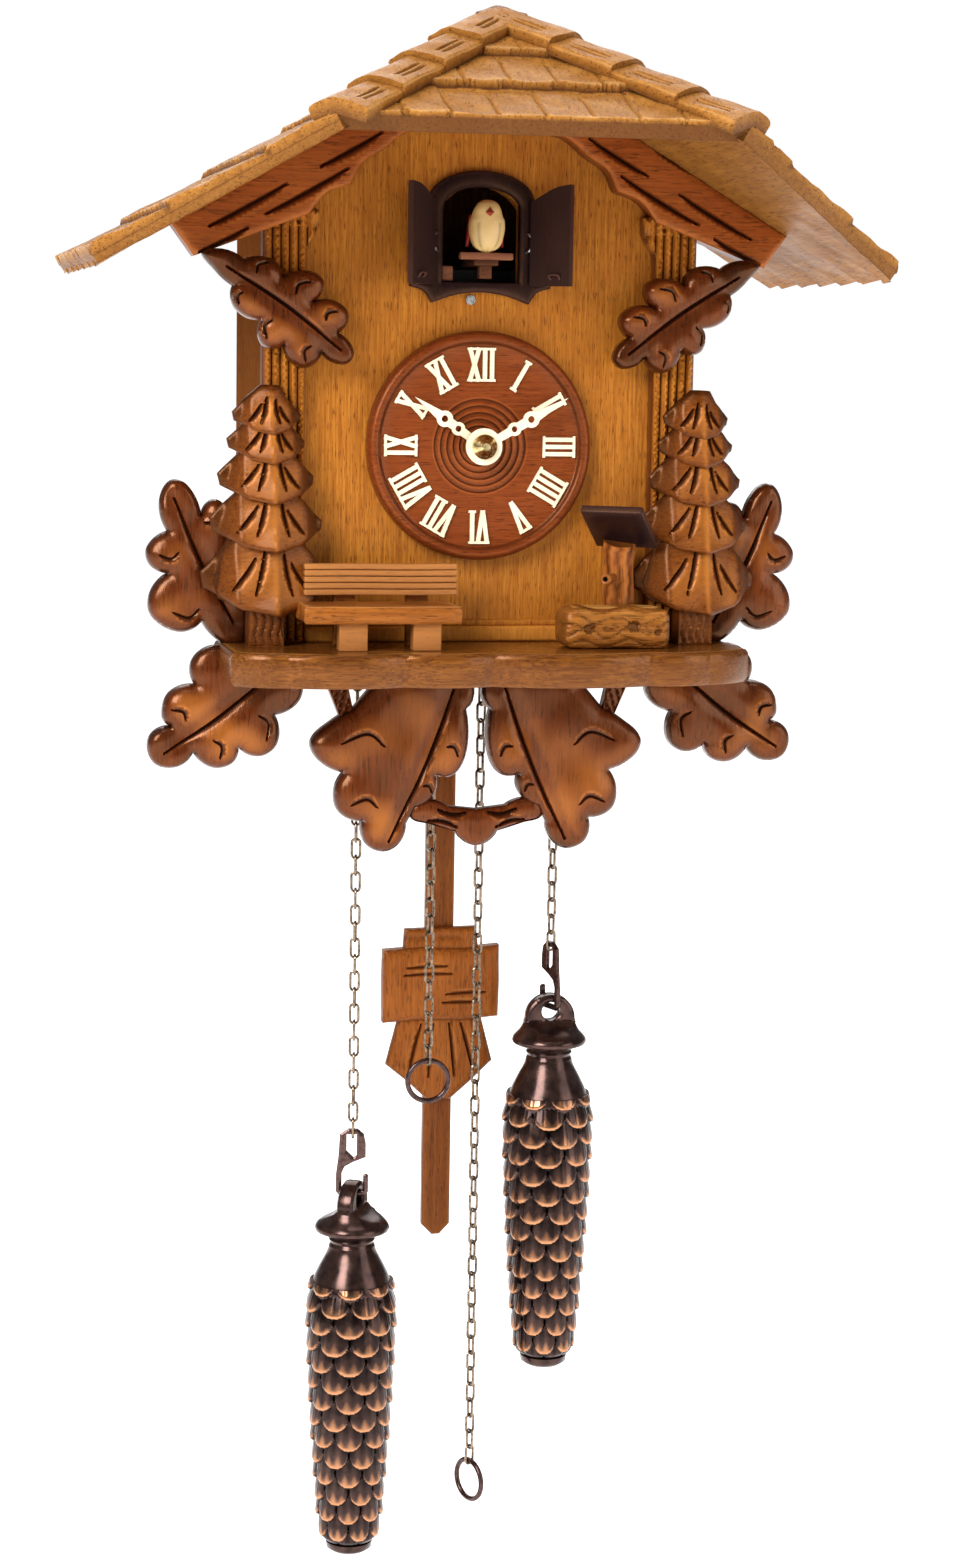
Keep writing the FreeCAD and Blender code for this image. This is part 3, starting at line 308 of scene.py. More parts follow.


# Each wood's light and dark streaks, its colour in the cuts for staining and painted shade, its colour on the
# lips for wear and painted highlights, and what else sets it apart.
WOODS = {
    "panel": ((0.62, 0.24, 0.029), (0.3, 0.09, 0.011), (0.06, 0.013, 0.004), (0.7, 0.28, 0.045), {}),
    "case": ((0.25, 0.088, 0.022), (0.13, 0.04, 0.01), (0.03, 0.009, 0.003), (0.35, 0.15, 0.05),
             dict(gloss=(0.5, 0.65), coat=0.0, shine=0.0)),
    "leaf": ((0.17, 0.037, 0.007), (0.075, 0.014, 0.003), (0.01, 0.003, 0.0015), (0.46, 0.145, 0.024),
             dict(fine=900, gloss=(0.18, 0.32), coat=1.0, streak=0.5, shine=0.55)),
    "tree": ((0.27, 0.076, 0.009), (0.11, 0.026, 0.004), (0.016, 0.004, 0.0015), (0.56, 0.2, 0.033),
             dict(along="x", fine=1100, gloss=(0.28, 0.42), coat=0.45, streak=0.5)),
    "barge": ((0.36, 0.085, 0.014), (0.19, 0.038, 0.007), (0.025, 0.006, 0.003), (0.5, 0.17, 0.035),
              dict(along="x", fine=1200)),
    "roof": ((0.54, 0.25, 0.048), (0.27, 0.105, 0.017), (0.05, 0.015, 0.007), (0.75, 0.44, 0.17),
             dict(along="y", fine=900, gloss=(0.45, 0.65), coat=0.1, streak=0.5, patch=0.6)),
    "shelf": ((0.27, 0.092, 0.013), (0.09, 0.024, 0.004), (0.03, 0.008, 0.003), (0.66, 0.3, 0.07),
              dict(along="x", fine=1300, gloss=(0.18, 0.3), coat=0.9, shine=0.55)),
    "bench": ((0.37, 0.12, 0.018), (0.2, 0.056, 0.009), (0.03, 0.007, 0.003), (0.6, 0.27, 0.09),
              dict(along="x", fine=1300)),
    "dial": ((0.27, 0.058, 0.011), (0.15, 0.028, 0.006), (0.03, 0.006, 0.002), (0.36, 0.09, 0.02),
             dict(along="x", fine=1300, gloss=(0.25, 0.4), coat=0.5)),
    "frame": ((0.017, 0.009, 0.01), (0.009, 0.005, 0.006), (0.003, 0.002, 0.002), (0.07, 0.032, 0.024),
              dict(fine=1200, coat=0.3, shine=0.25)),
    "bark": ((0.42, 0.16, 0.026), (0.19, 0.06, 0.01), (0.025, 0.007, 0.002), (0.68, 0.36, 0.1),
             dict(along="x", fine=1000, coat=0.5)),
    "post": ((0.42, 0.13, 0.022), (0.22, 0.056, 0.011), (0.03, 0.008, 0.003), (0.57, 0.24, 0.06),
             dict(along="z", fine=1000, coat=0.5)),
    "pendulum": ((0.33, 0.1, 0.014), (0.18, 0.045, 0.008), (0.035, 0.009, 0.003), (0.45, 0.17, 0.04),
                 dict(fine=1300)),
    "rod": ((0.21, 0.058, 0.011), (0.11, 0.027, 0.006), (0.03, 0.008, 0.003), (0.3, 0.1, 0.025),
            dict(fine=1300)),
    "perch": ((0.24, 0.085, 0.04), (0.12, 0.04, 0.022), (0.02, 0.008, 0.005), (0.34, 0.14, 0.08),
              dict(along="x", fine=1500, coat=0.1)),
}

# Plastics and paints: two close tones, and what else sets each apart.
MOULDED = {
    "cream": ((0.84, 0.77, 0.56), (0.76, 0.67, 0.45), {}),
    "bird": ((0.7, 0.48, 0.2), (0.5, 0.31, 0.1), dict(rough=(0.4, 0.55), grain=1200)),
    "red": ((0.35, 0.02, 0.012), (0.22, 0.012, 0.008), dict(rough=(0.35, 0.5), grain=1200)),
    "dark": ((0.016, 0.012, 0.012), (0.01, 0.008, 0.008), dict(rough=(0.4, 0.55), grain=1200)),
    "plastic": ((0.03, 0.03, 0.032), (0.018, 0.018, 0.02), {}),
    "battery": ((0.06, 0.07, 0.08), (0.035, 0.04, 0.05), dict(rough=(0.25, 0.35))),
}

# Metals: the bright and the tarnished tone, and what else sets each apart.
METALS = {
    "brass": ((0.83, 0.66, 0.33), (0.5, 0.34, 0.13), dict(rough=(0.15, 0.3))),
    "chain": ((0.3, 0.22, 0.15), (0.08, 0.055, 0.04), dict(rough=(0.2, 0.38))),
    "bronze": ((0.09, 0.05, 0.042), (0.034, 0.018, 0.017), dict(rough=(0.15, 0.28), metallic=0.8)),
    "cone": ((0.085, 0.045, 0.036), (0.034, 0.018, 0.016),
             dict(rough=(0.15, 0.28), metallic=0.8, grain=260, worn=(0.58, 0.26, 0.12))),
    "steel": ((0.62, 0.61, 0.6), (0.4, 0.39, 0.38), dict(rough=(0.2, 0.35))),
}


def make_materials():
    """Every finish by its name."""
    made = {}
    for maker, table in ((wood, WOODS), (moulded, MOULDED), (metal, METALS)):
        for name, (*colours, settings) in table.items():
            made[name] = maker(name, *colours, **settings)
    return made


# ---------------------------------------------------------------- mesh tools

class Shape:
    """Points in millimetres, faces, and each point's darkening: above 0 darker, as staining in cuts together
    with painted shade in hollows, at edges and on walls; below 0 brighter, as wear together with painted
    highlights on lips and edges.
    """

    def __init__(self):
        self.points, self.faces, self.stain_and_shading = [], [], []

    def add(self, points, faces, stain_and_shading=0.0):
        first = len(self.points)
        self.points += [tuple(p) for p in points]
        self.faces += [tuple(first + int(i) for i in face) for face in faces]
        self.stain_and_shading += [float(stain_and_shading)] * len(points) if np.isscalar(stain_and_shading) else [float(s) for s in stain_and_shading]
        return self

    def join(self, other, move=None, turn=None):
        points = np.array(other.points, float)
        if turn is not None:
            points = points @ np.array(turn.to_3x3()).T
        if move is not None:
            points = points + np.array(move)
        return self.add(points, other.faces, other.stain_and_shading)


def mirrored(shape):
    """The same shape on the other side of the clock."""
    made = Shape()
    made.points = [(-x, y, z) for x, y, z in shape.points]
    made.faces = [tuple(reversed(face)) for face in shape.faces]
    made.stain_and_shading = list(shape.stain_and_shading)
    return made


def piece(name, shape, body, material, nodes=(), angle=38):
    """A finished mesh that rides on a body and stands for CAD nodes."""
    mesh = bpy.data.meshes.new(name)
    places = CENTRE + np.array(shape.points, float) * MM
    mesh.from_pydata(places.tolist(), [], shape.faces)
    # The darkening is kept per point: real staining and wear mixed with painted shade and painted highlights.
    mark = mesh.attributes.new("stain_and_shading", "FLOAT", "POINT")
    mark.data.foreach_set("value", np.array(shape.stain_and_shading, np.float32))
    work = bmesh.new()
    work.from_mesh(mesh)
    bmesh.ops.remove_doubles(work, verts=work.verts, dist=2e-6)
    work.to_mesh(mesh)
    work.free()
    mesh.shade_smooth()
    mesh.set_sharp_from_angle(angle=math.radians(angle))
    mesh.materials.append(material)
    made = bpy.data.objects.new(name, mesh)
    bpy.context.scene.collection.objects.link(made)
    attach(made, body)
    if nodes:
        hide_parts(*nodes)
    return made


FRONT = (np.zeros(3), np.array((1.0, 0, 0)), np.array((0, 0, 1.0)), np.array((0, -1.0, 0)))


def plane(origin, across, up):
    """A drawing plane: its origin, its two unit directions and the way out of it."""
    u = np.array(across, float)
    u /= np.linalg.norm(u)
    v = np.array(up, float)
    v -= u * (u @ v)
    v /= np.linalg.norm(v)
    return np.array(origin, float), u, v, np.cross(u, v)


def lift(place, flat, height):
    """Points of a drawing plane, at heights out of it, as points of the clock."""
    origin, u, v, n = place
    flat = np.asarray(flat, float)
    height = np.zeros(len(flat)) + height
    return origin + flat[:, :1] * u + flat[:, 1:] * v + height[:, None] * n


def nearest(points, line, closed=False):
    """Each point's distance to a line, the share of the line where it is nearest, and its side."""
    line = np.asarray(line, float)
    if closed:
        line = np.vstack([line, line[:1]])
    start, step = line[:-1], np.diff(line, axis=0)
    long = np.maximum((step ** 2).sum(1), 1e-12)
    off = points[:, None, :] - start[None]
    t = np.clip((off * step).sum(2) / long, 0, 1)
    gap = off - t[..., None] * step
    far = (gap ** 2).sum(2)
    best = far.argmin(1)
    row = np.arange(len(points))
    lengths = np.sqrt(long)
    before = np.concatenate([[0], np.cumsum(lengths)])
    share = (before[best] + t[row, best] * lengths[best]) / before[-1]
    side = np.sign(step[best, 0] * gap[row, best, 1] - step[best, 1] * gap[row, best, 0])
    return np.sqrt(far[row, best]), share, side


def edge_gap(points, loops):
    """Each point's distance to the nearest edge."""
    return np.min([nearest(points, loop, True)[0] for loop in loops], axis=0)


def inside(points, loops):
    """Which points lie inside the outer loop and outside its holes."""
    hit = np.zeros(len(points), bool)
    for loop in loops:
        a, b = loop, np.roll(loop, -1, axis=0)
        for (x0, y0), (x1, y1) in zip(a, b):
            if y0 == y1:
                continue
            cross = (y0 > points[:, 1]) != (y1 > points[:, 1])
            hit ^= cross & (points[:, 0] < (x1 - x0) * (points[:, 1] - y0) / (y1 - y0) + x0)
    return hit


def area(loop):
    """A loop's area, above 0 when it runs anticlockwise."""
    x, y = loop[:, 0], loop[:, 1]
    return 0.5 * np.sum(x * np.roll(y, -1) - y * np.roll(x, -1))


def anticlockwise(loop):
    """The loop, turned round if it runs clockwise."""
    loop = np.asarray(loop, float)
    return loop if area(loop) > 0 else loop[::-1]


def outset(loop, amount):
    """A loop moved outwards by an amount; the loop runs anticlockwise."""
    ahead = np.roll(loop, -1, axis=0) - loop
    back = loop - np.roll(loop, 1, axis=0)
    ahead /= np.maximum(np.linalg.norm(ahead, axis=1), 1e-9)[:, None]
    back /= np.maximum(np.linalg.norm(back, axis=1), 1e-9)[:, None]
    along = ahead + back
    along /= np.maximum(np.linalg.norm(along, axis=1), 1e-9)[:, None]
    return loop + amount * np.column_stack([along[:, 1], -along[:, 0]])


def dense(line, step, closed=False):
    """A line with points no further apart than a step."""
    line = np.asarray(line, float)
    ends = np.vstack([line, line[:1]]) if closed else line
    out = []
    for a, b in zip(ends, ends[1:]):
        count = max(1, int(np.ceil(np.linalg.norm(b - a) / step)))
        out += [a + (b - a) * i / count for i in range(count)]
    if not closed:
        out.append(ends[-1])
    return np.array(out)


ROW_STEP = 0.87  # rows of near equilateral triangles, as a share of their side


def fill(loops, pitch=None, lines=()):
    """Triangles that fill the loops, with a fine grid and extra points along carved lines."""
    given = np.vstack(loops)
    edges, first = [], 0
    for loop in loops:
        edges += [(first + i, first + (i + 1) % len(loop)) for i in range(len(loop))]
        first += len(loop)
    if pitch:
        low, high = given.min(0), given.max(0)
        grid = []
        for k, y in enumerate(np.arange(low[1], high[1], pitch * ROW_STEP)):
            x = np.arange(low[0] + (k % 2) * pitch / 2, high[0], pitch)
            grid.append(np.column_stack([x, np.full(len(x), y)]))
        grid = np.vstack(grid)
        grid = grid[inside(grid, loops)]
        grid = grid[edge_gap(grid, loops) > 0.55 * pitch]
        extra = [outset(loop, -0.4 * pitch) for loop in loops if len(loop) > 3]
        extra += [np.asarray(line, float) for line in lines]
        extra = np.vstack(extra)
        extra = extra[inside(extra, loops)]
        extra = extra[edge_gap(extra, loops) > 0.3 * pitch]
        if len(extra):
            near = np.array([((extra - g) ** 2).sum(1).min() for g in grid]) < (0.45 * pitch) ** 2
            grid = np.vstack([grid[~near], extra])
        given = np.vstack([given, grid])
    out = delaunay_2d_cdt([Vector(p) for p in given.tolist()], edges, [], 1, 1e-4)
    points = np.array([p[:] for p in out[0]])
    faces = np.array([face[:] for face in out[2] if len(face) == 3], int)
    keep = inside(points[faces].mean(1), loops)
    return points, faces[keep]


def carve_line(line, half):
    """Extra grid points on a carved line and on both sides of it."""
    line = dense(line, 0.8)
    ahead = np.gradient(line, axis=0)
    ahead /= np.linalg.norm(ahead, axis=1)[:, None]
    side = np.column_stack([-ahead[:, 1], ahead[:, 0]])
    return np.vstack([line, line + side * half, line - side * half, line + side * half * 2.2])


def relief(outline, front, back, place=FRONT, holes=(), pitch=0.7, lines=(), rim=(), wall=0.3):
    """A carved board: its raised face, its edge walls and its back. Heights are out of the drawing plane.

    front(points, gap) gives each point's height and darkening; gap is the distance to the edge. wall is the
    darkening of the edge walls and the back, painted shade where it is above 0.
    rim lists the rings below the face as (outset, height); the last ring ends at the back."""
    loops = [np.array(outline, float)] + [np.array(hole, float) for hole in holes]
    loops = [loop if (area(loop) > 0) == (i == 0) else loop[::-1] for i, loop in enumerate(loops)]
    points, faces = fill(loops, pitch, lines)
    gap = edge_gap(points, loops)
    height, stain_and_shading = front(points, gap)
    shape = Shape().add(lift(place, points, height), faces, stain_and_shading)
    lower = []
    for loop in loops:
        top, shade = front(loop, np.zeros(len(loop)))
        rings = [(lift(place, loop, top), shade)]
        ring = loop
        for out, level in rim or ((0.0, back),):
            ring = outset(loop, out) if out else loop
            level = level(ring, np.zeros(len(ring)))[0] if callable(level) else level
            rings.append((lift(place, ring, level), np.full(len(ring), wall)))
        lower.append(ring)
        count = len(loop)
        for (upper_ring, upper_shade), (lower_ring, lower_shade) in zip(rings, rings[1:]):
            quads = [(count + i, count + (i + 1) % count, (i + 1) % count, i) for i in range(count)]
            shape.add(np.vstack([upper_ring, lower_ring]), quads, np.concatenate([upper_shade, lower_shade]))
    if callable(back):
        depth, shade = back(points, gap)
        shape.add(lift(place, points, depth), faces[:, ::-1], shade)
    else:
        points, faces = fill(lower)
        shape.add(lift(place, points, back), faces[:, ::-1], wall)
    return shape


def curve(points, steps=8, closed=False):
    """A smooth line through points."""
    p = np.asarray(points, float)
    if closed:
        p = np.vstack([p[-1], p, p[:2]])
    else:
        p = np.vstack([2 * p[0] - p[1], p, 2 * p[-1] - p[-2]])
    out = []
    for a, b, c, d in zip(p, p[1:], p[2:], p[3:]):
        for i in range(steps):
            t = i / steps
            out.append(0.5 * (2 * b + (c - a) * t + (2 * a - 5 * b + 4 * c - d) * t * t
                              + (3 * b - a - 3 * c + d) * t ** 3))
    if not closed:
        out.append(p[-2])
    return np.array(out)


def lobed(points, steps=7):
    """A closed outline whose lobes are round and whose valleys are corners."""
    p = anticlockwise(points)
    ahead = np.roll(p, -1, axis=0) - p
    back = p - np.roll(p, 1, axis=0)
    convex = back[:, 0] * ahead[:, 1] - back[:, 1] * ahead[:, 0] > 0
    along = ahead + back
    along /= np.linalg.norm(along, axis=1)[:, None]
    out = []
    for i in range(len(p)):
        j = (i + 1) % len(p)
        far = np.linalg.norm(ahead[i])
        unit = ahead[i] / far
        start, end = along[i], along[j]
        if not convex[i]:
            start = 2 * (end @ unit) * unit - end if convex[j] else unit
        if not convex[j]:
            end = 2 * (start @ unit) * unit - start if convex[i] else unit
        for k in range(steps):
            t = k / steps
            h = (2 * t ** 3 - 3 * t ** 2 + 1, t ** 3 - 2 * t ** 2 + t, -2 * t ** 3 + 3 * t ** 2,
                 t ** 3 - t ** 2)
            out.append(h[0] * p[i] + h[1] * far * start + h[2] * p[j] + h[3] * far * end)
    return np.array(out)


def hollows(points):
    """The corners of an outline that point inwards."""
    p = anticlockwise(points)
    ahead = np.roll(p, -1, axis=0) - p
    back = p - np.roll(p, 1, axis=0)
    return p, back[:, 0] * ahead[:, 1] - back[:, 1] * ahead[:, 0] < 0


def wave(p, size, seed=0.0):
    """A smooth unevenness from -1 to 1 over a flat face; size is about one bump's width."""
    x, y = p[:, 0] / size, p[:, 1] / size
    return (np.sin(1.7 * x + 2.3 * np.sin(0.9 * y + seed) + seed)
            + np.sin(2.1 * y + 1.9 * np.sin(1.1 * x - seed))
            + np.sin(1.3 * (x + y) + seed * 2)) / 3


def gouge(p, line, half, depth, lean=0.0):
    """Each point's depth in a gouge, its darkening by staining and painted shade, and its lip brightened by
    wear and painted highlight; a leaning cut is steep on one side only.
    """
    far, share, side = nearest(p, line)
    width = half * np.sin(np.pi * np.clip(share, 0.03, 0.97)) ** 0.55
    reach = np.where(side * np.sign(lean) > 0, width * (1 + 1.9 * abs(lean)), width * (1 - 0.45 * abs(lean)))
    share_deep = np.clip(1 - far / np.maximum(reach, 1e-6), 0, 1)
    lip = np.exp(-((far - reach * 1.1) / 0.45) ** 2) * (side * (np.sign(lean) or 1) > 0) * (width / half)
    ends = (share > 0.001) & (share < 0.999)
    return depth * share_deep ** 1.3, np.clip(share_deep * 1.7, 0, 1), lip * 0.45 * ends


def carved(p, height, stain_and_shading, cuts):
    """A face after gouges: (line, half width, depth, lean)."""
    for line, half, depth, lean in cuts:
        down, dark, lip = gouge(p, line, half, depth, lean)
        height = height - down
        # Gouges darken with staining and painted shade; their lips brighten as wear and painted highlight.
        stain_and_shading = np.where(dark > 0.02, np.maximum(stain_and_shading, dark), stain_and_shading - lip)
    return height, np.clip(stain_and_shading, -1, 1)


def skin(rings, ends=True, stain_and_shading=0.0):
    """A surface through closed rings of equally many points; ends says whether its two ends are closed."""
    rings = [np.asarray(r, float) for r in rings]
    count = len(rings[0])
    points = np.vstack(rings)
    faces = []
    for k in range(len(rings) - 1):
        for i in range(count):
            j = (i + 1) % count
            faces.append((k * count + i, k * count + j, (k + 1) * count + j, (k + 1) * count + i))
    if ends:
        faces.append(tuple(range(count - 1, -1, -1)))
        top = (len(rings) - 1) * count
        faces.append(tuple(range(top, top + count)))
    return Shape().add(points, faces, stain_and_shading)


def lathe(profile, steps=72, axis="z", stain_and_shading=0.0):
    """A turned piece from (radius, along) pairs, about Z or about Y."""
    rings = []
    for radius, along in profile:
        angle = np.linspace(0, 2 * np.pi, steps, endpoint=False)
        c, s = max(radius, 1e-3) * np.cos(angle), max(radius, 1e-3) * np.sin(angle)
        level = np.full(steps, float(along))
        rings.append(np.column_stack([c, s, level] if axis == "z" else [c, level, -s]))
    values = np.repeat(stain_and_shading, steps) if not np.isscalar(stain_and_shading) else stain_and_shading
    return skin(rings, stain_and_shading=values)


def tube(path, radius, sides=10, closed=False, stain_and_shading=0.0):
    """A round bar along a path."""
    path = np.asarray(path, float)
    count = len(path)
    ahead = np.roll(path, -1, axis=0) - np.roll(path, 1, axis=0) if closed else np.gradient(path, axis=0)
    ahead /= np.linalg.norm(ahead, axis=1)[:, None]
    normal = np.cross(ahead[0], (0.13, 0.97, 0.21))
    rings = []
    for k in range(count):
        normal = normal - ahead[k] * (normal @ ahead[k])
        normal /= np.linalg.norm(normal)
        other = np.cross(ahead[k], normal)
        angle = np.linspace(0, 2 * np.pi, sides, endpoint=False)
        rings.append(path[k] + radius * (np.outer(np.cos(angle), normal) + np.outer(np.sin(angle), other)))
    if closed:
        rings.append(rings[0])
    return skin(rings, ends=not closed, stain_and_shading=stain_and_shading)


def bar(low, high, bevel=0.5, stain_and_shading=0.0, uneven=0.0, worn=0.35):
    """A block with rounded edges brightened as wear and painted highlight; uneven bends its faces."""
    low, high = np.array(low, float), np.array(high, float)
    work = bmesh.new()
    bmesh.ops.create_cube(work, size=1.0)
    size = high - low
    for v in work.verts:
        v.co = Vector(low + (np.array(v.co) + 0.5) * size)
    for axis in range(3):
        parts = int(min(24, size[axis] / 4))
        edges = [e for e in work.edges if abs(e.verts[0].co[axis] - e.verts[1].co[axis]) > 0.9 * size[axis]]
        if parts > 1:
            bmesh.ops.subdivide_edges(work, edges=edges, cuts=parts - 1, use_grid_fill=True)
    rims = [e for e in work.edges if len(e.link_faces) == 2 and e.calc_face_angle() > 1.0]
    bmesh.ops.bevel(work, geom=rims, offset=bevel, segments=3, profile=0.5, affect="EDGES")
    points = np.array([v.co[:] for v in work.verts])
    faces = [[v.index for v in f.verts] for f in work.faces]
    work.free()
    near = np.minimum(points - low, high - points)
    rim = np.sort(near, axis=1)[:, 1] < bevel * 1.05
    if uneven:
        points[:, 1] += uneven * wave(points[:, [0, 2]], 7.0, 1.0)
        points[:, 2] += uneven * wave(points[:, [0, 1]], 9.0, 2.0)
    return Shape().add(points, faces, stain_and_shading - worn * rim)


def sheet(upper, lower, shade, wall):
    """A closed slab between two grids of points, upper and lower, given as rows."""
    rows, cols = upper.shape[:2]
    count = rows * cols

    def at(i, j):
        return i * cols + j

    faces = [(at(i, j), at(i, j + 1), at(i + 1, j + 1), at(i + 1, j)) for i in range(rows - 1)
             for j in range(cols - 1)]
    below = [tuple(count + k for k in reversed(face)) for face in faces]
    walls = []
    for i in range(rows - 1):
        walls.append((at(i, 0), at(i + 1, 0), count + at(i + 1, 0), count + at(i, 0)))
        walls.append((at(i + 1, cols - 1), at(i, cols - 1), count + at(i, cols - 1),
                      count + at(i + 1, cols - 1)))
    for j in range(cols - 1):
        walls.append((at(0, j + 1), at(0, j), count + at(0, j), count + at(0, j + 1)))
        walls.append((at(rows - 1, j), at(rows - 1, j + 1), count + at(rows - 1, j + 1),
                      count + at(rows - 1, j)))
    points = np.vstack([upper.reshape(-1, 3), lower.reshape(-1, 3)])
    stain_and_shading = np.concatenate([shade.reshape(-1), np.full(count, wall)])
    first = upper[0, 1] - upper[0, 0]
    second = upper[1, 0] - upper[0, 0]
    faces = faces + below + walls
    if np.dot(np.cross(first, second), upper[0, 0] - lower[0, 0]) < 0:
        faces = [tuple(reversed(face)) for face in faces]
    return Shape().add(points, faces, stain_and_shading)


# ---------------------------------------------------------------- leaves

def dome(gap, wide):
    """Rises from 0 at an edge to 1 at a distance from it, like a quarter circle."""
    return np.sqrt(1 - (1 - np.clip(gap / wide, 0, 1)) ** 2)


def leaf_cuts(points, midrib):
    """The midrib and one bowed cut on each side lobe of a leaf."""
    corners, hollow = hollows(points)
    start, end = np.array(midrib[0], float), np.array(midrib[1], float)
    axis = (end - start) / np.linalg.norm(end - start)
    long = np.linalg.norm(end - start)
    bend = np.array((-axis[1], axis[0]))
    rib = curve([start, start + axis * long * 0.5 + bend * long * 0.02, end], 10)
    cuts = [(rib, 0.6, 1.1, 0.5)]
    count = len(corners)
    valleys = [i for i in range(count) if hollow[i]]
    for a, b in zip(valleys, valleys[1:] + [valleys[0] + count]):
        lobe = [corners[i % count] for i in range(a + 1, b)]
        if not lobe:
            continue
        tip = np.mean(lobe, axis=0)
        along = (tip - start) @ axis
        if not 0.1 * long < along < 0.93 * long:
            continue
        side = np.sign((tip - start) @ bend)
        foot = start + axis * max(0.0, along - 0.32 * np.linalg.norm(tip - start - axis * along))
        reach = tip - foot
        size = np.linalg.norm(reach)
        if size < 6:
            continue
        first, last = foot + reach * 0.42, foot + reach * 0.8
        middle = (first + last) / 2 - axis * size * 0.1
        cuts.append((curve([first, middle, last], 8), 0.45, 0.8, 0.9 * side))
    return cuts


def oak_leaf(points, midrib, back, thick, seed):
    """A carved oak leaf: round lobes that swell from a sunk midrib."""
    outline = lobed(points)
    cuts = leaf_cuts(points, midrib)
    rib = np.array(midrib, float)
    base, span = rib[0], np.linalg.norm(rib[1] - rib[0])
    axis = (rib[1] - rib[0]) / span

    def front(p, gap):
        far = nearest(p, rib)[0]
        height = back + thick * (0.38 + 0.5 * dome(gap, 7.5) + 0.12 * dome(gap, 1.2))
        height -= 1.3 * np.exp(-(far / 3.2) ** 2) * (gap > 0)
        height += 0.35 * wave(p, 6.0, seed) * dome(gap, 4.0)
        along = (p - base) @ axis / span
        # Painted shade darkens the leaf towards its edge, towards its stem and beside the midrib's hollow;
        # painted highlights brighten the swelling middles of the lobes.
        stain_and_shading = 0.75 * np.exp(-gap / 1.5) + 0.4 * np.clip(0.3 - along, 0, 0.3) / 0.3
        stain_and_shading += 0.3 * wave(p, 7.0, seed + 2) + 0.25 * np.exp(-((far - 1.5) / 1.6) ** 2)
        stain_and_shading -= 0.33 * dome(gap, 7.0) * np.clip(0.4 + wave(p, 11.0, seed + 5), 0, 1)
        return carved(p, height, np.clip(stain_and_shading, -0.55, 0.9), cuts)

    lines = [carve_line(cut[0], cut[1] * 0.8) for cut in cuts]
    return relief(outline, front, back, pitch=0.75, lines=lines, wall=0.55)


EAVE_LEAF = [(-79.5, 53.0), (-76.2, 47.5), (-71.6, 43.6), (-70.6, 37.2), (-63.6, 34.2), (-63.1, 27.5),
             (-57.2, 27.6), (-52.1, 21.3), (-46.6, 25.6), (-40.3, 22.4), (-37.4, 26.0), (-41.9, 31.2),
             (-39.0, 36.3), (-43.2, 40.2), (-49.2, 39.6), (-46.0, 45.0), (-50.3, 48.2), (-57.5, 46.4),
             (-60.7, 51.2), (-68.5, 51.0)]
SIDE_LEAF = [(-66.0, -55.5), (-71.7, -57.0), (-79.1, -50.2), (-85.6, -53.0), (-93.2, -48.6), (-93.6, -42.0),
             (-88.9, -36.4), (-93.8, -34.0), (-94.3, -29.0), (-88.9, -24.6), (-91.0, -17.0), (-88.1, -10.6),
             (-83.2, -11.6), (-79.2, -20.0), (-75.6, -15.6), (-71.6, -19.0), (-70.6, -27.0), (-66.0, -30.0)]
LOW_LEAF = [(-56.5, -60.5), (-75.4, -56.6), (-81.8, -60.6), (-81.4, -67.6), (-88.4, -70.0), (-90.4, -76.6),
            (-88.2, -79.4), (-94.0, -82.6), (-93.0, -89.6), (-86.4, -91.2), (-81.6, -87.2), (-76.4, -91.4),
            (-70.6, -90.4), (-68.6, -86.0), (-62.4, -88.4), (-57.4, -84.4), (-58.2, -76.6), (-51.6, -73.0),
            (-50.6, -67.0)]


def make_leaves():
    """Six oak leaves; the right ones are mirrored, with their own unevenness."""
    plans = (("eave_leaf", EAVE_LEAF, ((-73.0, 48.5), (-41.5, 26.5))),
             ("side_leaf", SIDE_LEAF, ((-70.5, -50.0), (-87.0, -15.5))),
             ("low_leaf", LOW_LEAF, ((-60.0, -65.0), (-90.0, -87.0))))
    for seed, (name, points, rib) in enumerate(plans):
        low, high = box_mm(name + "_left")
        thick = high[1] - low[1]
        shape = oak_leaf(points, rib, -high[1], thick, seed)
        piece(name + "_left_carved", shape, "case", paint["leaf"], [name + "_left"])
        shape = mirrored(oak_leaf(points, rib, -high[1], thick, seed + 4))
        piece(name + "_right_carved", shape, "case", paint["leaf"], [name + "_right"])


BOTTOM_LEAF = [(-3.6, -64.0), (-3.4, -75.0), (-2.9, -86.0), (-6.2, -93.5), (-12.0, -94.0), (-12.6, -99.6),
               (-18.0, -103.2), (-20.6, -108.0), (-22.4, -113.6), (-27.2, -116.0), (-32.6, -113.4),
               (-33.4, -107.0), (-40.0, -104.6), (-41.6, -98.6), (-39.2, -93.0), (-46.6, -89.0),
               (-48.4, -83.6), (-42.6, -78.0), (-36.6, -74.6), (-31.0, -68.0), (-28.0, -64.0)]
BOTTOM_RIB = ((-6.5, -66.0), (-26.0, -113.0))


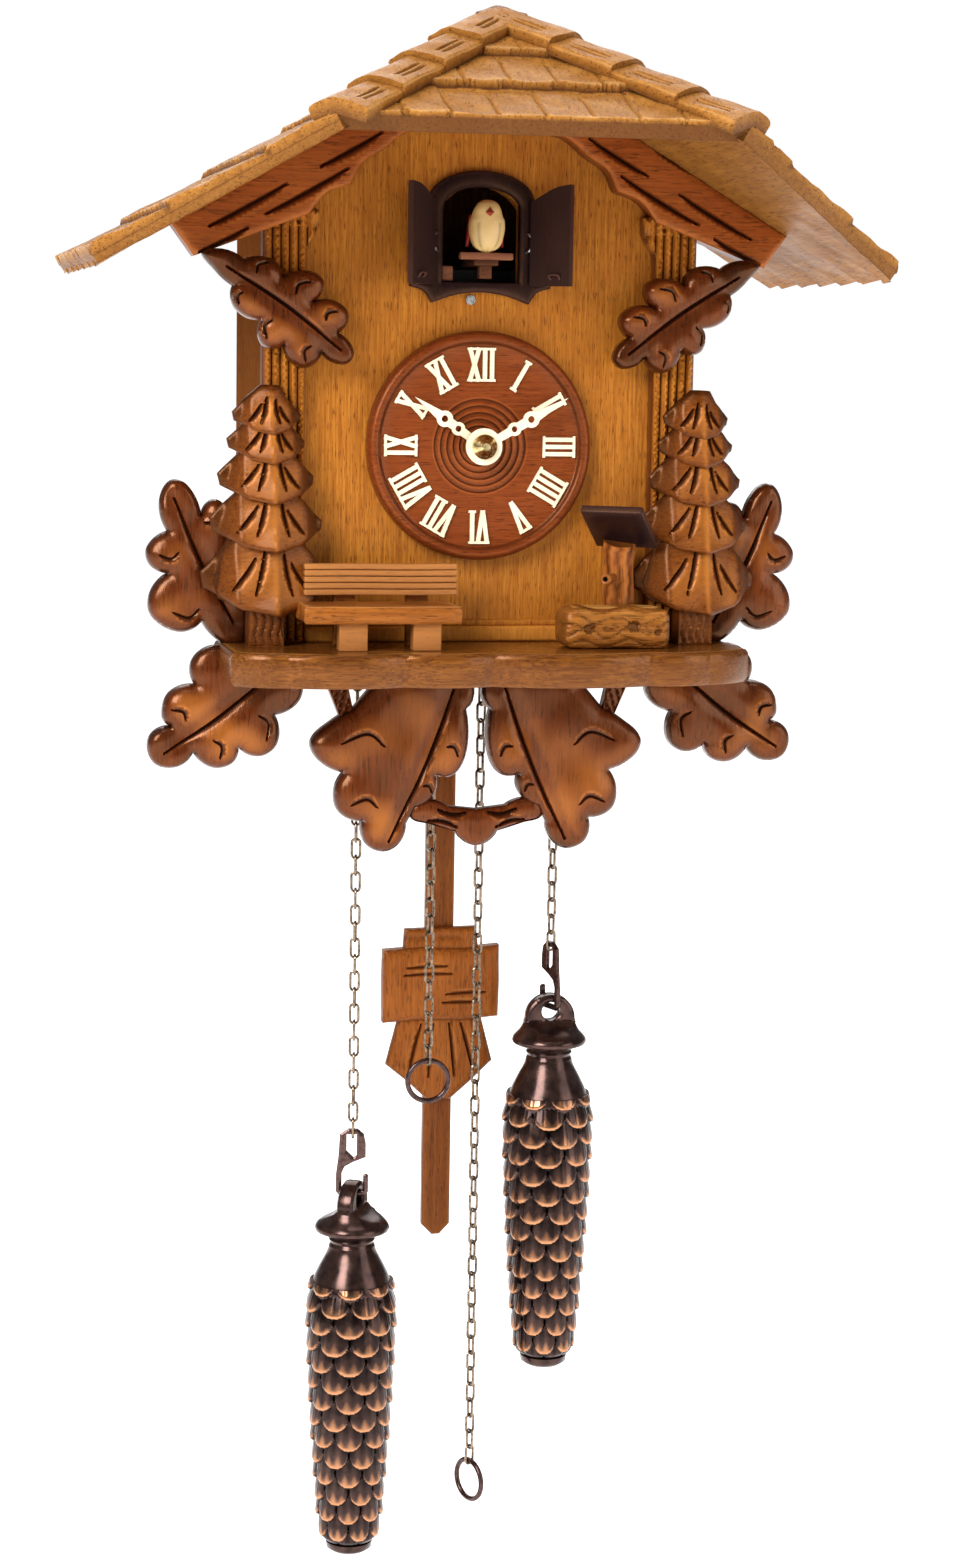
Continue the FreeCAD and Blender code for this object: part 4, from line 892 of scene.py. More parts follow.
def make_bottom_carving():
    """Two hanging leaves joined by a small curved bridge, with two stems behind the shelf's edge."""
    low, high = box_mm("bottom_carving")
    back, thick = -high[1], high[1] - low[1]
    shape = oak_leaf(BOTTOM_LEAF, BOTTOM_RIB, back, thick, 7)
    shape.join(mirrored(oak_leaf(BOTTOM_LEAF, BOTTOM_RIB, back, thick, 9)))
    bridge = lobed([(0, -114.6), (6.2, -110.4), (13.5, -108.2), (19.5, -106.0), (17.5, -101.2), (8.5, -103.0),
                    (0, -104.0), (-8.5, -103.0), (-17.5, -101.2), (-19.5, -106.0), (-13.5, -108.2),
                    (-6.2, -110.4)])
    cuts = [(curve([(s * 3.5, -105.0), (s * 7.5, -105.2), (s * 11.5, -104.0)], 6), 0.8, 1.4, -0.6 * s)
            for s in (-1, 1)]
    cuts += [(curve([(s * 6.0, -109.0), (s * 10.0, -107.6), (s * 14.0, -107.2)], 6), 0.7, 1.2, 0.6 * s)
             for s in (-1, 1)]

    def front(p, gap):
        arms = np.clip(np.abs(p[:, 0]) / 12, 0, 1) * (gap > 0)
        height = back + thick * (0.45 + 0.3 * dome(gap, 3.5)) - 0.9 * arms
        # Painted shade darkens the bridge towards its edge.
        return carved(p, height, 0.5 * np.exp(-gap / 0.8) + 0.15 * wave(p, 6, 3), cuts)

    shape.join(relief(bridge, front, back, pitch=0.7, lines=[carve_line(c[0], 0.6) for c in cuts], wall=0.6))
    for side in (-1, 1):
        stem = [(side * 45, -65.5), (side * 38.5, -65.5), (side * 35.5, -79), (side * 39.5, -79)]

        def reeds(p, gap):
            ripple = np.abs(np.sin((p[:, 0] * side + 0.27 * (p[:, 1] + 65)) * 1.5))
            # Painted shade darkens the hollows between the reeds.
            return back + thick * (0.4 + 0.15 * ripple), 0.75 - 0.6 * ripple

        shape.join(relief(stem, reeds, back, pitch=0.6, wall=0.7))
    piece("bottom_carving_carved", shape, "case", paint["leaf"], ["bottom_carving"])


# ---------------------------------------------------------------- trees

TREE_X = {"left": -61.8, "right": 62.7}
# Each tier's top, lowest point and half width.
TREE_TIERS = ((16.5, 3.4, 8.6), (9.5, -4.6, 10.0), (1.5, -15.6, 12.4), (-9.0, -29.0, 14.4),
              (-21.0, -46.5, 16.6))


def tree_tier(x, top, low, half, back, out, seed, keep):
    """One skirt of a fir tree: two facets meeting at a ridge, a scalloped lower edge and gouged needles.

    back is the tree's back, out how far the skirt stands out of it, and keep where the skirt itself ends."""
    tall = top - low
    ridge = x + 0.12 * half
    half = 1.08 * half
    points = [(ridge + 0.05 * half, low - 0.9), (ridge + half * 0.5, low + 0.06 * tall),
              (x + half, low + 0.27 * tall), (x + half * 1.02, low + 0.4 * tall),
              (x + half * 0.58, low + 0.74 * tall), (ridge + 0.28 * half, top), (ridge - 0.3 * half, top),
              (x - half * 0.6, low + 0.76 * tall), (x - half * 1.03, low + 0.43 * tall),
              (x - half * 0.97, low + 0.25 * tall), (ridge - half * 0.52, low + 0.03 * tall)]
    outline = dense(points, 1.0, True)
    outline = outline + 0.22 * np.column_stack([wave(outline, 3.0, seed), wave(outline, 3.5, seed + 1)])
    cuts = []
    for side, share, reach in ((-1, 0.3, 0.55), (-1, 0.62, 0.42), (1, 0.24, 0.5), (1, 0.5, 0.36)):
        foot = (ridge + side * half * share * 1.05, low + tall * (0.17 + 0.12 * share))
        head = (ridge + side * half * share * 0.5, low + tall * (0.17 + reach))
        cuts.append((dense([foot, head], 0.8), 0.5, 1.1, 0.7 * side))

    def front(p, gap):
        down = np.clip((top - p[:, 1]) / tall, 0, 1)
        aside = (p[:, 0] - ridge) / half
        beyond = np.clip(np.abs(aside) - 0.62, 0, 1)
        fall = np.where(aside < 0, 0.42, 0.62) * np.abs(aside) * half + 1.1 * beyond * half
        height = back + out * (0.5 + 0.5 * down) - fall * (0.55 + 0.2 * down) + 0.3 * wave(p, 4.0, seed)
        height = np.maximum(height, back + 2.0)
        height -= 0.7 * np.exp(-gap / 0.5)
        # Painted shade: dark along the edge, a shadow across the top of the skirt under the one above, and
        # darker outer facets. Painted highlights: a bright ridge and a lit middle band.
        stain_and_shading = 0.45 * np.exp(-gap / 0.55) + 0.7 * (1 - down) ** 2 + 0.15 * wave(p, 5.0, seed + 3)
        stain_and_shading += 0.5 * np.clip(np.abs(aside + 0.1) - 0.6, 0, 0.3) / 0.3
        lit_middle = 0.3 * (np.abs(aside) < 0.55) * down * (1 - down) * 4
        stain_and_shading -= 0.35 * np.exp(-(aside * half / 0.7) ** 2) + lit_middle
        return carved(p, height, np.clip(stain_and_shading, -0.5, 0.85), cuts)

    return relief(outline, front, keep, pitch=0.7, lines=[carve_line(c[0], 0.5) for c in cuts]
                  + [np.array([(ridge, z) for z in np.arange(low + 0.4, top - 0.4, 0.7)])], wall=0.85)


def make_trees():
    """Two fir trees, each with five skirts on a trunk."""
    for side, word in SIDES:
        name = "tree_" + word
        back = -box_mm(name)[1][1]
        x = TREE_X[word]
        shape = Shape()
        for i, (top, bottom, half) in enumerate(TREE_TIERS):
            keep = back + 0.2 if i == 0 else back + 0.5
            shape.join(tree_tier(x, top, bottom, half, back, 7.5 + 1.4 * i, i * 1.7 + side, keep))
        trunk = [(x - 5.6, -56.0), (x + 4.4, -56.0), (x + 4.0, -43.0), (x - 5.4, -43.0)]

        def bark(p, gap):
            ripple = np.abs(np.sin(p[:, 0] * 1.4 + 0.5 * np.sin(p[:, 1] * 0.8)))
            # Painted shade darkens the bark between its ridges.
            return back + 7.5 + 0.6 * ripple, 0.5 - 0.35 * ripple

        shape.join(relief(trunk, bark, back, pitch=0.6, wall=0.6))
        core = lobed([(x - 3.5, 12), (x - 7.5, -6), (x - 11, -26), (x - 13.5, -43), (x + 12.5, -43),
                      (x + 10.5, -26), (x + 7.5, -6), (x + 3.5, 12)], 3)
        # A flat core behind the skirts, painted dark as the shade between them.
        shape.join(relief(core, lambda p, gap: (np.full(len(p), back + 3.2), np.full(len(p), 0.8)), back,
                          pitch=3.0, wall=0.8))
        piece(name + "_carved", shape, "case", paint["tree"], [name])


# ---------------------------------------------------------------- roof

SLOPE = math.tan(math.radians(30.4))
RIDGE_Z, RIDGE_Y = 119.2, -18.3
HIP_X, HIP_Y, HIP_Z = 55.3, -81.1, 86.75
EAVE_X, EAVE_Y, BACK_Y = 113.8, -34.1, 80.0
ROOF_DEEP = 5.5
COURSE_EDGES = (EAVE_X, 93.9, 69.3, 44.5, 19.5, 0.0)
HIP_SLOPE = (RIDGE_Z - HIP_Z) / (RIDGE_Y - HIP_Y)


def shingled(p, rows, lean, seed, width):
    """Height and darkening of overlapping shingle courses, with painted shade and highlights; the second
    coordinate runs up the slope.
    """
    height, stain_and_shading = np.full(len(p), -2.0), np.zeros(len(p))
    for k, (low, high) in enumerate(rows):
        number = np.floor((p[:, 0] + k * 5.3) / width)
        chance = np.modf(np.abs(np.sin(number * 12.9898 + k * 78.2 + seed) * 43758.5453))[0]
        lower = low + 0.9 * (chance - 0.5) + 0.45 * wave(p, 3.2, seed + k) - 0.5 * np.abs(
            np.sin(np.pi * (p[:, 0] + k * 5.3) / width))
        part = (p[:, 1] >= lower) & (p[:, 1] < high + 2.0)
        share = np.clip((p[:, 1] - lower) / (high - low), 0, 1.2)
        level = 0.35 - lean * share + 0.5 * (chance - 0.5) + 0.3 * wave(p, 5.0, seed + 2 * k)
        joint = np.abs(np.modf(np.abs((p[:, 0] + k * 5.3) / width))[0] - 0.5)
        groove = np.clip((joint - 0.455) / 0.045, 0, 1)
        level -= 0.8 * groove
        # Each course is painted darker as shade where it tucks under the next and lit brighter along its
        # lower edge; grooves mark dark joints between shingles.
        tucked = 0.35 * np.clip(share - 0.72, 0, 0.3) / 0.3
        shade = 0.45 * groove - 0.5 * np.exp(-(p[:, 1] - lower) / 0.9) + tucked
        better = part & (level > height)
        height = np.where(better, level, height)
        stain_and_shading = np.where(better, shade + 0.12 * wave(p, 4.0, seed + 5), stain_and_shading)
        # A painted shadow line just below each course's lower edge.
        under = (p[:, 1] < lower) & (p[:, 1] > lower - 1.1) & ~part
        stain_and_shading = np.where(under, np.maximum(stain_and_shading, 0.85), stain_and_shading)
    return height, np.clip(stain_and_shading, -0.6, 1)


def row_lines(rows, low, high):
    """Extra grid points along the lower edge of each shingle course."""
    x = np.arange(low, high, 0.9)
    return [np.column_stack([x, np.full(len(x), row[0] + d)]) for row in rows
            for d in (-0.9, -0.45, 0.0, 0.45)]


def make_main_roof():
    """The two main slopes: shingle courses, a split front edge and stepped shingle ends at the eave."""
    long = math.hypot(1, SLOPE)
    place = plane((0, 0, RIDGE_Z), (0, -1, 0), (1, 0, SLOPE))
    eave = -EAVE_X * long
    outline = [(-RIDGE_Y, 0.0), (-HIP_Y, -HIP_X * long), (-EAVE_Y, eave), (-BACK_Y, eave), (-BACK_Y, 0.0)]
    rows = [(-a * long, -b * long) for a, b in zip(COURSE_EDGES, COURSE_EDGES[1:])]

    def front(p, gap):
        return shingled(p, rows, 1.7, 3.0, 17.0)

    def under(p, gap):
        near = np.clip((eave + 15 - p[:, 1]) / 15, 0, 1)
        step = np.modf(np.abs(p[:, 0] + 200) / 19.0)[0]
        height = -ROOF_DEEP + 1.6 * near - 1.9 * near * (1 - step) + 0.12 * wave(p, 3.0, 4.0)
        # The underside is painted darker as shade, lighter towards the eave, and darker again in the step
        # notches there.
        stain_and_shading = 0.3 + 0.1 * wave(p, 6.0, 1.0) - 0.3 * near + 0.4 * (step < 0.06) * near
        return height, stain_and_shading

    # The front edge's walls below its top are painted darker as shade.
    shape = relief(dense(outline, 2.0, True), front, under, place, pitch=1.7,
                   lines=row_lines(rows, -BACK_Y, -HIP_Y),
                   rim=((0.0, -2.6), (-0.35, -2.9), (-0.5, under)), wall=0.45)
    piece("roof_left_shingles", shape, "case", paint["roof"], ["roof_left"])
    piece("roof_right_shingles", mirrored(shape), "case", paint["roof"], ["roof_right"])


def make_hip_roof():
    """The front slope: two ragged shingle rows over a foot board painted dark as shade."""
    long = math.hypot(1, HIP_SLOPE)
    place = plane((0, RIDGE_Y, RIDGE_Z), (1, 0, 0), (0, 1, HIP_SLOPE))
    foot = (HIP_Y - RIDGE_Y) * long
    outline = dense([(0, 0), (-HIP_X, foot), (HIP_X, foot)], 1.5, True)
    rows = [(foot, foot + 22.5), (foot + 22.5, foot + 45), (foot + 45, 2.0)]

    def front(p, gap):
        return shingled(p, rows, 2.3, 1.0, 12.5)

    shape = relief(outline, front, -ROOF_DEEP, place, pitch=0.8, lines=row_lines(rows, -HIP_X, HIP_X),
                   rim=((0.15, -1.2), (0.2, -ROOF_DEEP + 0.3), (-0.3, -ROOF_DEEP)), wall=0.8)
    piece("roof_hip_shingles", shape, "case", paint["roof"], ["roof_hip"])


CAP_ENDS = (0.0, 0.293, 0.535, 0.782, 1.0)  # the cap tiles' ends, as shares of the hip line
CAP_ON_HIP, CAP_ON_MAIN = 9.6, 7.0
CAP_GOUGES = (4.2, 6.1)


def hip_cap(index):
    """A ridge board over the left hip line: a wedge, thicker at its lower end, with short gouges."""
    top = np.array((0.0, RIDGE_Y, RIDGE_Z))
    foot = np.array((-HIP_X, HIP_Y, HIP_Z))
    line = foot - top
    a, b = CAP_ENDS[index], CAP_ENDS[index + 1]
    start, end = top + line * a, top + line * (b + 0.004)
    unit = line / np.linalg.norm(line)
    hip_normal = np.array((0, -HIP_SLOPE, 1.0)) / math.hypot(1, HIP_SLOPE)
    main_normal = np.array((-SLOPE, 0, 1.0)) / math.hypot(1, SLOPE)
    onto_hip = np.cross(unit, hip_normal)
    onto_main = -np.cross(unit, main_normal)
    if onto_hip[0] < 0:
        onto_hip = -onto_hip
    if onto_main[0] > 0:
        onto_main = -onto_main
    steps, across = 26, np.concatenate([np.linspace(-1, 0, 9), np.linspace(0, 1, 17)[1:]])
    upper, lower, shade = [], [], []
    for i in range(steps):
        s = i / (steps - 1)
        spine = start + (end - start) * s
        row, row_low, row_shade = [], [], []
        for t in across:
            if t > 0:
                way, normal, wide = onto_hip, hip_normal, CAP_ON_HIP
            else:
                way, normal, wide = onto_main, main_normal, CAP_ON_MAIN
            far = abs(t) * wide
            cut = sum(max(0, 1 - abs(far - c) / 0.55) for c in CAP_GOUGES) * (0.22 < s < 0.8) * (abs(t) > 0.2)
            edge = max(0, 1 - (1 - abs(t)) * wide / 0.8) ** 2
            rise = 2.0 + 1.6 * s - 0.75 * cut - 0.6 * edge + 0.12 * math.sin(9 * s + 7 * t + index)
            pull = way * far * (0.985 + 0.012 * math.sin(5 * s + index))
            blend = min(1, abs(t) * 5)
            out = normal * blend + (hip_normal + main_normal) / 2 * (1 - blend)
            row.append(spine + pull + out * rise)
            row_low.append(spine + pull - out * 0.8)
            # Painted shade darkens the gouges and the V-gap at each tile's upper end, and the underside and
            # walls; painted highlights brighten each tile's lower end and its edges.
            ends = max(math.exp(-s * 22), 0.3 * math.exp(-(1 - s) * 30))
            row_shade.append(min(1, 0.9 * cut + ends) - 0.3 * math.exp(-(1 - s) * 12) - 0.2 * edge)
        upper.append(row)
        lower.append(row_low)
        shade.append(row_shade)
    return sheet(np.array(upper), np.array(lower), np.array(shade), 0.8)


def make_hip_caps():
    """Four cap tiles down each hip line."""
    shape = Shape()
    for i in range(4):
        cap = hip_cap(i)
        shape.join(cap).join(mirrored(cap))
    piece("hip_caps_carved", shape, "case", paint["roof"], ["hip_caps"])


# ---------------------------------------------------------------- front trim

BARGE_CUSPS = ((50.0, 63.8), (38.2, 72.2), (29.6, 81.6), (14.0, 88.0), (0.0, 90.5))
BARGE_GROOVES = (((29.9, 86.5), (46.5, 77.0)), ((39.3, 76.4), (61.6, 63.7)), ((56.7, 71.6), (77.9, 59.7)),
                 ((67.3, 59.4), (80.6, 52.6)), ((14.5, 99.0), (31.0, 90.0)), ((47.0, 86.0), (63.0, 77.0)))


def roof_under(x):
    """The height of the main roof's underside."""
    return RIDGE_Z - abs(x) * SLOPE - ROOF_DEEP * math.hypot(1, SLOPE)


def bargeboard():
    """The right bargeboard: a board under the roof with a scalloped lower edge and gouged strokes."""
    outline = [(0.0, roof_under(0)), (88.7, roof_under(88.7)), (82.0, 51.6)]
    for (x0, z0), (x1, z1) in zip(((82.0, 51.6),) + BARGE_CUSPS, BARGE_CUSPS):
        long = math.hypot(x1 - x0, z1 - z0)
        bow = 0.0 if x0 > 80 else 0.13 * long
        middle = ((x0 + x1) / 2 + bow * (z1 - z0) / long, (z0 + z1) / 2 - bow * (x1 - x0) / long)
        outline += list(curve([(x0, z0), middle, (x1, z1)], 5)[:-1])
    outline.append(BARGE_CUSPS[-1])
    cuts = [(dense(groove, 1.0), 0.75, 1.6, -0.7) for groove in BARGE_GROOVES]

    def front(p, gap):
        height = 7.5 - 0.9 * np.exp(-gap / 0.5) + 0.12 * wave(p, 8.0, 2.0)
        # A painted highlight runs just inside the edge; the walls carry painted shade.
        stain_and_shading = -0.35 * np.exp(-((gap - 0.5) / 0.4) ** 2) + 0.12 * wave(p, 12.0, 5.0)
        return carved(p, height, stain_and_shading, cuts)

    return relief(dense(outline, 1.2, True), front, 0.0, pitch=1.0,
                  lines=[carve_line(c[0], 0.6) for c in cuts],
                  wall=0.72)


def make_bargeboards():
    """The board drawn on the right, and its mirror on the left."""
    board = bargeboard()
    piece("bargeboard_right_carved", board, "case", paint["barge"], ["bargeboard_right"])
    piece("bargeboard_left_carved", mirrored(board), "case", paint["barge"],
          ["bargeboard_left"])


def corner_post():
    """A reeded corner post with a wavy upper inner edge."""
    wavy = curve([(50.4, 50.5), (50.1, 54.7), (47.9, 58.2), (46.9, 61.8), (46.6, 65.0)], 5)
    outline = [(50.4, -56.0), (62.5, -56.0), (62.5, 60.0), (50.0, 66.0)] + list(wavy[::-1])

    def front(p, gap):
        reed = np.abs(np.sin(np.pi * (p[:, 0] - 50.2) / 2.45))
        height = 4.4 + 2.0 * reed ** 0.6 * np.clip(gap / 0.7, 0.3, 1)
        # Painted shade darkens the hollows between the reeds and the edge; painted highlights brighten the
        # reeds' crests.
        stain_and_shading = np.clip(0.95 - 1.5 * reed, 0, 1) + 0.4 * np.exp(-gap / 0.5) + 0.1 * wave(p, 9.0, 1.0)
        return height, np.clip(stain_and_shading - 0.12 * (reed > 0.9), -0.3, 1)

    edges = [np.column_stack([np.full(160, 50.2 + 2.45 * k + d), np.linspace(-55, 60, 160)])
             for k in range(6) for d in (-0.3, 0.0, 0.3)]
    return relief(dense(outline, 1.5, True), front, 0.0, pitch=1.1, lines=edges, wall=0.7)


def make_posts():
    """The two corner posts and the moulding along the foot of the front panel."""
    post = corner_post()
    piece("corner_post_right_carved", post, "case", paint["panel"], ["corner_post_right"])
    piece("corner_post_left_carved", mirrored(post), "case", paint["panel"],
          ["corner_post_left"])
    foot = bar((-50, -3.2, -56), (50, 0, -51.5), 0.9, 0.0)
    foot.join(bar((-50, -2.0, -51.6), (50, 0, -49.8), 0.6, 0.3))
    piece("base_moulding_carved", foot, "case", paint["panel"], ["base_moulding"])


EDGE_ROUND = 1.6


def make_shelf():
    """The shelf board: a wavy front, softened edges, holes for the chains and a slot for the pendulum.

    The rounded edge grows out of the drawn outline by EDGE_ROUND, so the outline is drawn in by as much,
    and each hole is drawn wider by as much."""
    low, high = box_mm("shelf")
    corners = np.array([(-74.5, -30.0), (-60.0, -36.8), (-27.0, -37.0), (-2.0, -36.6), (43.0, -37.8),
                        (61.0, -35.6), (74.5, -27.0)])
    points = [(-74.5, 6.0)]
    for start, end in zip(corners, corners[1:]):
        bulge = 0.11 * np.linalg.norm(end - start)
        points += [tuple(start + (end - start) * t - np.array((0, 4 * bulge * t * (1 - t))))
                   for t in np.linspace(0, 1, 13)[:-1]]
    points += [(74.5, -27.0), (74.5, 6.0), (62.0, 8.0), (62.0, 80.0), (-62.0, 80.0), (-62.0, 8.0)]
    outer = outset(dense(points, 1.6, True), -EDGE_ROUND)
    place = plane((0, 0, high[2]), (1, 0, 0), (0, 1, 0))
    angle = np.linspace(0, 2 * np.pi, 20, endpoint=False)
    wide = 3.4 + EDGE_ROUND
    holes = [np.column_stack([x + wide * np.cos(angle), CHAIN_Y + wide * np.sin(angle)])
             for x in (-CHAIN_X, -RING_X, RING_X, CHAIN_X)]
    holes.append(dense([(-14.1, 39.4), (14.1, 39.4), (14.1, 50.6), (-14.1, 50.6)], 2.0, True))

    def front(p, gap):
        # A painted highlight brightens the top towards its front edge; the rounded edge and underside carry
        # painted shade.
        return 0.05 * wave(p, 9.0, 1.0) - 0.02, 0.15 * wave(p, 10.0, 3.0) - 0.35 * np.exp(-gap / 1.0)

    thick = low[2] - high[2]
    shape = relief(outer, front, thick, place, holes, 3.0,
                   rim=((0.9, -0.25), (1.5, -1.1), (EDGE_ROUND, -1.9), (1.55, thick + 1.5), (0.5, thick)),
                   wall=0.18)
    piece("shelf_board", shape, "case", paint["shelf"], ["shelf"])


# ---------------------------------------------------------------- bench and well

def make_bench():
    """A bench: a slatted back board, a seat with round corners, and its four supports."""
    back = Shape()
    slat = 1.8
    for i in range(5):
        z = -41.6 + slat * i
        back.join(bar((-52, -17, z + 0.08), (-8.5, -14.2, z + 1.72), 0.42, 0.05, 0.06, 0.45))
    # A board behind the slats, painted dark as the shade in the gaps between them.
    back.join(bar((-51.6, -15.6, -41.3), (-8.9, -14, -32.9), 0.2, 0.95, 0.0, 0.0))
    piece("bench_back_slats", back, "case", paint["bench"], ["bench_back"])
    outline = curve([(-50.5, -32), (-13.5, -32), (-10.6, -28), (-10.5, -18), (-13.5, -14), (-50.5, -14),
                     (-53.4, -18), (-53.4, -28)], 6, True)

    def seat_top(p, gap):
        # A painted highlight brightens the seat towards its edge.
        return 0.08 * wave(p, 5, 1), -0.5 * np.exp(-gap / 0.8) + 0.15 * wave(p, 7, 2)

    seat = relief(outset(anticlockwise(outline), -0.5), seat_top, -4.8,
                  plane((0, 0, -43.5), (1, 0, 0), (0, 1, 0)),
                  pitch=1.4, rim=((0.35, -0.35), (0.5, -0.9), (0.5, -4.1), (0.0, -4.8)), wall=0.0)
    piece("bench_seat_board", seat, "case", paint["bench"], ["bench_seat"])
    legs = Shape()
    for x in (-40.2, -19.4):
        legs.join(bar((x - 4, -30, -56), (x + 4, -25, -48.3), 0.35, 0.0, 0.05))
        # The back supports behind the seat are painted darker as shade.
        legs.join(bar((x - 3, -14, -56), (x + 3, -11, -36), 0.3, 0.5, 0.05))
    piece("bench_legs_blocks", legs, "case", paint["bench"], ["bench_legs"])


def make_well():
    """A carved log trough, a bark post with a spout, and a small tilted roof board."""
    place = plane((0, -28.0, 0), (1, 0, 0), (0, 0, 1))
    outline = curve([(20.6, -50.0), (21.4, -45.6), (26.0, -44.2), (32.0, -45.0), (38.0, -44.0), (45.0, -44.6),
                     (50.4, -45.4), (51.2, -50.0), (50.4, -55.4), (44.0, -56.0), (35.0, -55.6), (27.0, -56.0),
                     (21.4, -55.0)], 5, True)
    eyes = ((27.5, -50.2, 3.2), (40.5, -49.6, 3.6), (47.6, -51.4, 2.2))

    def log(p, gap):
        warp = p[:, 1] + 0.6 * np.sin(p[:, 0] * 0.45)
        for x, z, r in eyes:
            off = np.exp(-(((p[:, 0] - x) / (r * 1.3)) ** 2 + ((p[:, 1] - z) / r) ** 2))
            warp = warp + off * np.sign(p[:, 1] - z) * r * 0.8
        line = np.abs(np.sin(warp * 1.55))
        height = -1.9 + 1.9 * dome(gap, 4.5) - 0.55 * (1 - line) ** 2
        top = np.clip((p[:, 1] + 47.5) / 3, 0, 1)
        # Painted shade darkens the grain's hollows and the edge, a painted highlight brightens the top, and
        # the sunk knots are dark.
        stain_and_shading = 0.75 * (1 - line) ** 2.5 + 0.3 * np.exp(-gap / 0.7) - 0.25 * top
        for x, z, r in eyes:
            ring = np.hypot((p[:, 0] - x) / 1.3, p[:, 1] - z)
            stain_and_shading = np.where(ring < r * 0.42, 0.75, stain_and_shading)
            height = height - 0.6 * (ring < r * 0.4)
        return height, np.clip(stain_and_shading, -0.4, 1)

    shape = relief(outline, log, -13.2, place, pitch=0.6, wall=0.35)
    water = curve([(24.5, -24.5), (36, -25.2), (47.5, -24.5), (48, -20), (47, -17.6), (36, -17.2),
                   (25, -17.6), (24, -20)],
                  5, True)

    def pool(p, gap):
        # A painted highlight lightens the pool's surface.
        return 0.12 * wave(p, 3, 1), np.full(len(p), -0.5)

    shape.join(relief(water, pool, -1.0, plane((0, 0, -44.3), (1, 0, 0), (0, 1, 0)), pitch=1.2, wall=0.9))
    piece("trough_log", shape, "case", paint["bark"], ["trough"])
    post, shade = [], []
    around = 40
    angle = np.linspace(0, 2 * np.pi, around, endpoint=False)
    for z in np.linspace(-56, -25.2, 30):
        ridge = np.abs(np.sin(3.5 * angle + 0.35 * math.sin(z * 0.55) + 0.2 * math.sin(z * 1.7)))
        r = 4.0 + 0.55 * ridge + 0.25 * math.sin(z * 0.4)
        post.append(np.column_stack([40 + r * np.cos(angle), -10.8 + r * 0.86 * np.sin(angle),
                                     np.full(around, z)]))
        shade += list(0.85 - 1.05 * ridge)
    stem = skin(post, stain_and_shading=shade)
    stem.points = [(x, y, z - max(0.0, z + 30) * 0.55 * max(0.0, (-y - 8) / 6)) for x, y, z in stem.points]
    # The spout's rim is painted lighter as highlight and its mouth dark as shade.
    spout = lathe([(0.4, 0), (1.3, 0.0), (1.3, 5.5), (1.5, 7.6), (1.2, 8.3), (0.7, 8.2), (0.6, 6)], 24,
                  stain_and_shading=[0.3, 0.3, 0.1, -0.2, -0.4, 0.8, 1])
    turn = Matrix.Rotation(math.radians(-33), 3, "Z") @ Matrix.Rotation(math.radians(90), 3, "X")
    stem.join(spout, (38.3, -12.6, -36.8), turn)
    piece("well_post_bark", stem, "case", paint["post"], ["well_post"])
    turn = Matrix.Rotation(math.radians(-30), 3, "Z") @ Matrix.Rotation(math.radians(-31), 3, "X")
    board = bar((0, 0, 0), (18, 21, 2.2), 0.35, 0.25, 0.0, 0.6)
    for i in range(1, 4):
        board.join(bar((0.2, i * 5.2, 2.0), (17.8, i * 5.2 + 0.7, 2.5), 0.2, 0.6, 0.0, 0.3))
    roof = Shape().join(board, (25.8, -20.5, -17.6), turn)
    piece("well_roof_board", roof, "case", paint["frame"], ["well_roof"])


# ---------------------------------------------------------------- dial, doors, bird

def make_dial():
    """The turned dial: a rolled rim, a flat ring for the numerals and fine steps round the hands."""
    profile = [(2.4, 0.0), (32.3, 0.0), (32.5, -1.0), (32.5, -3.6), (32.2, -4.9), (31.4, -5.7), (30.6, -6.0),
               (29.8, -5.8), (29.3, -5.4), (29.0, -4.9), (28.5, -4.6)]
    # Painted shade darkens the back, the rim's outer side and the hollow inside the roll; the roll's crest is
    # lighter.
    stain_and_shading = [0.6, 0.6, 0.5, 0.35, 0.3, 0.1, 0.1, 0.4, 0.65, 0.7, 0.15]
    profile += [(24.0, -4.6), (19.0, -4.6), (14.2, -4.6)]
    stain_and_shading += [0.0, 0.0, 0.0]
    depth = -4.6
    for ring_edge in (13.5, 11.6, 9.7, 7.8, 5.9):
        profile += [(ring_edge, depth), (ring_edge - 0.25, depth + 0.55), (ring_edge - 0.75, depth + 0.6),
                    (ring_edge - 1.2, depth + 0.35)]
        # Each step has a painted highlight on its edge and painted shade under it.
        stain_and_shading += [-0.5, 0.9, 0.35, 0.0]
        depth += 0.3
    profile += [(4.4, depth + 0.3), (2.4, depth + 0.3)]
    stain_and_shading += [0.2, 0.4]
    piece("dial_turned", lathe(profile, 144, axis="y", stain_and_shading=stain_and_shading), "case", paint["dial"],
          ["dial"])


def arch(half, spring, crown):
    """Points over an arch, from right to left."""
    return [(half * math.cos(a), spring + (crown - spring) * math.sin(a))
            for a in np.linspace(0, math.pi, 25)]


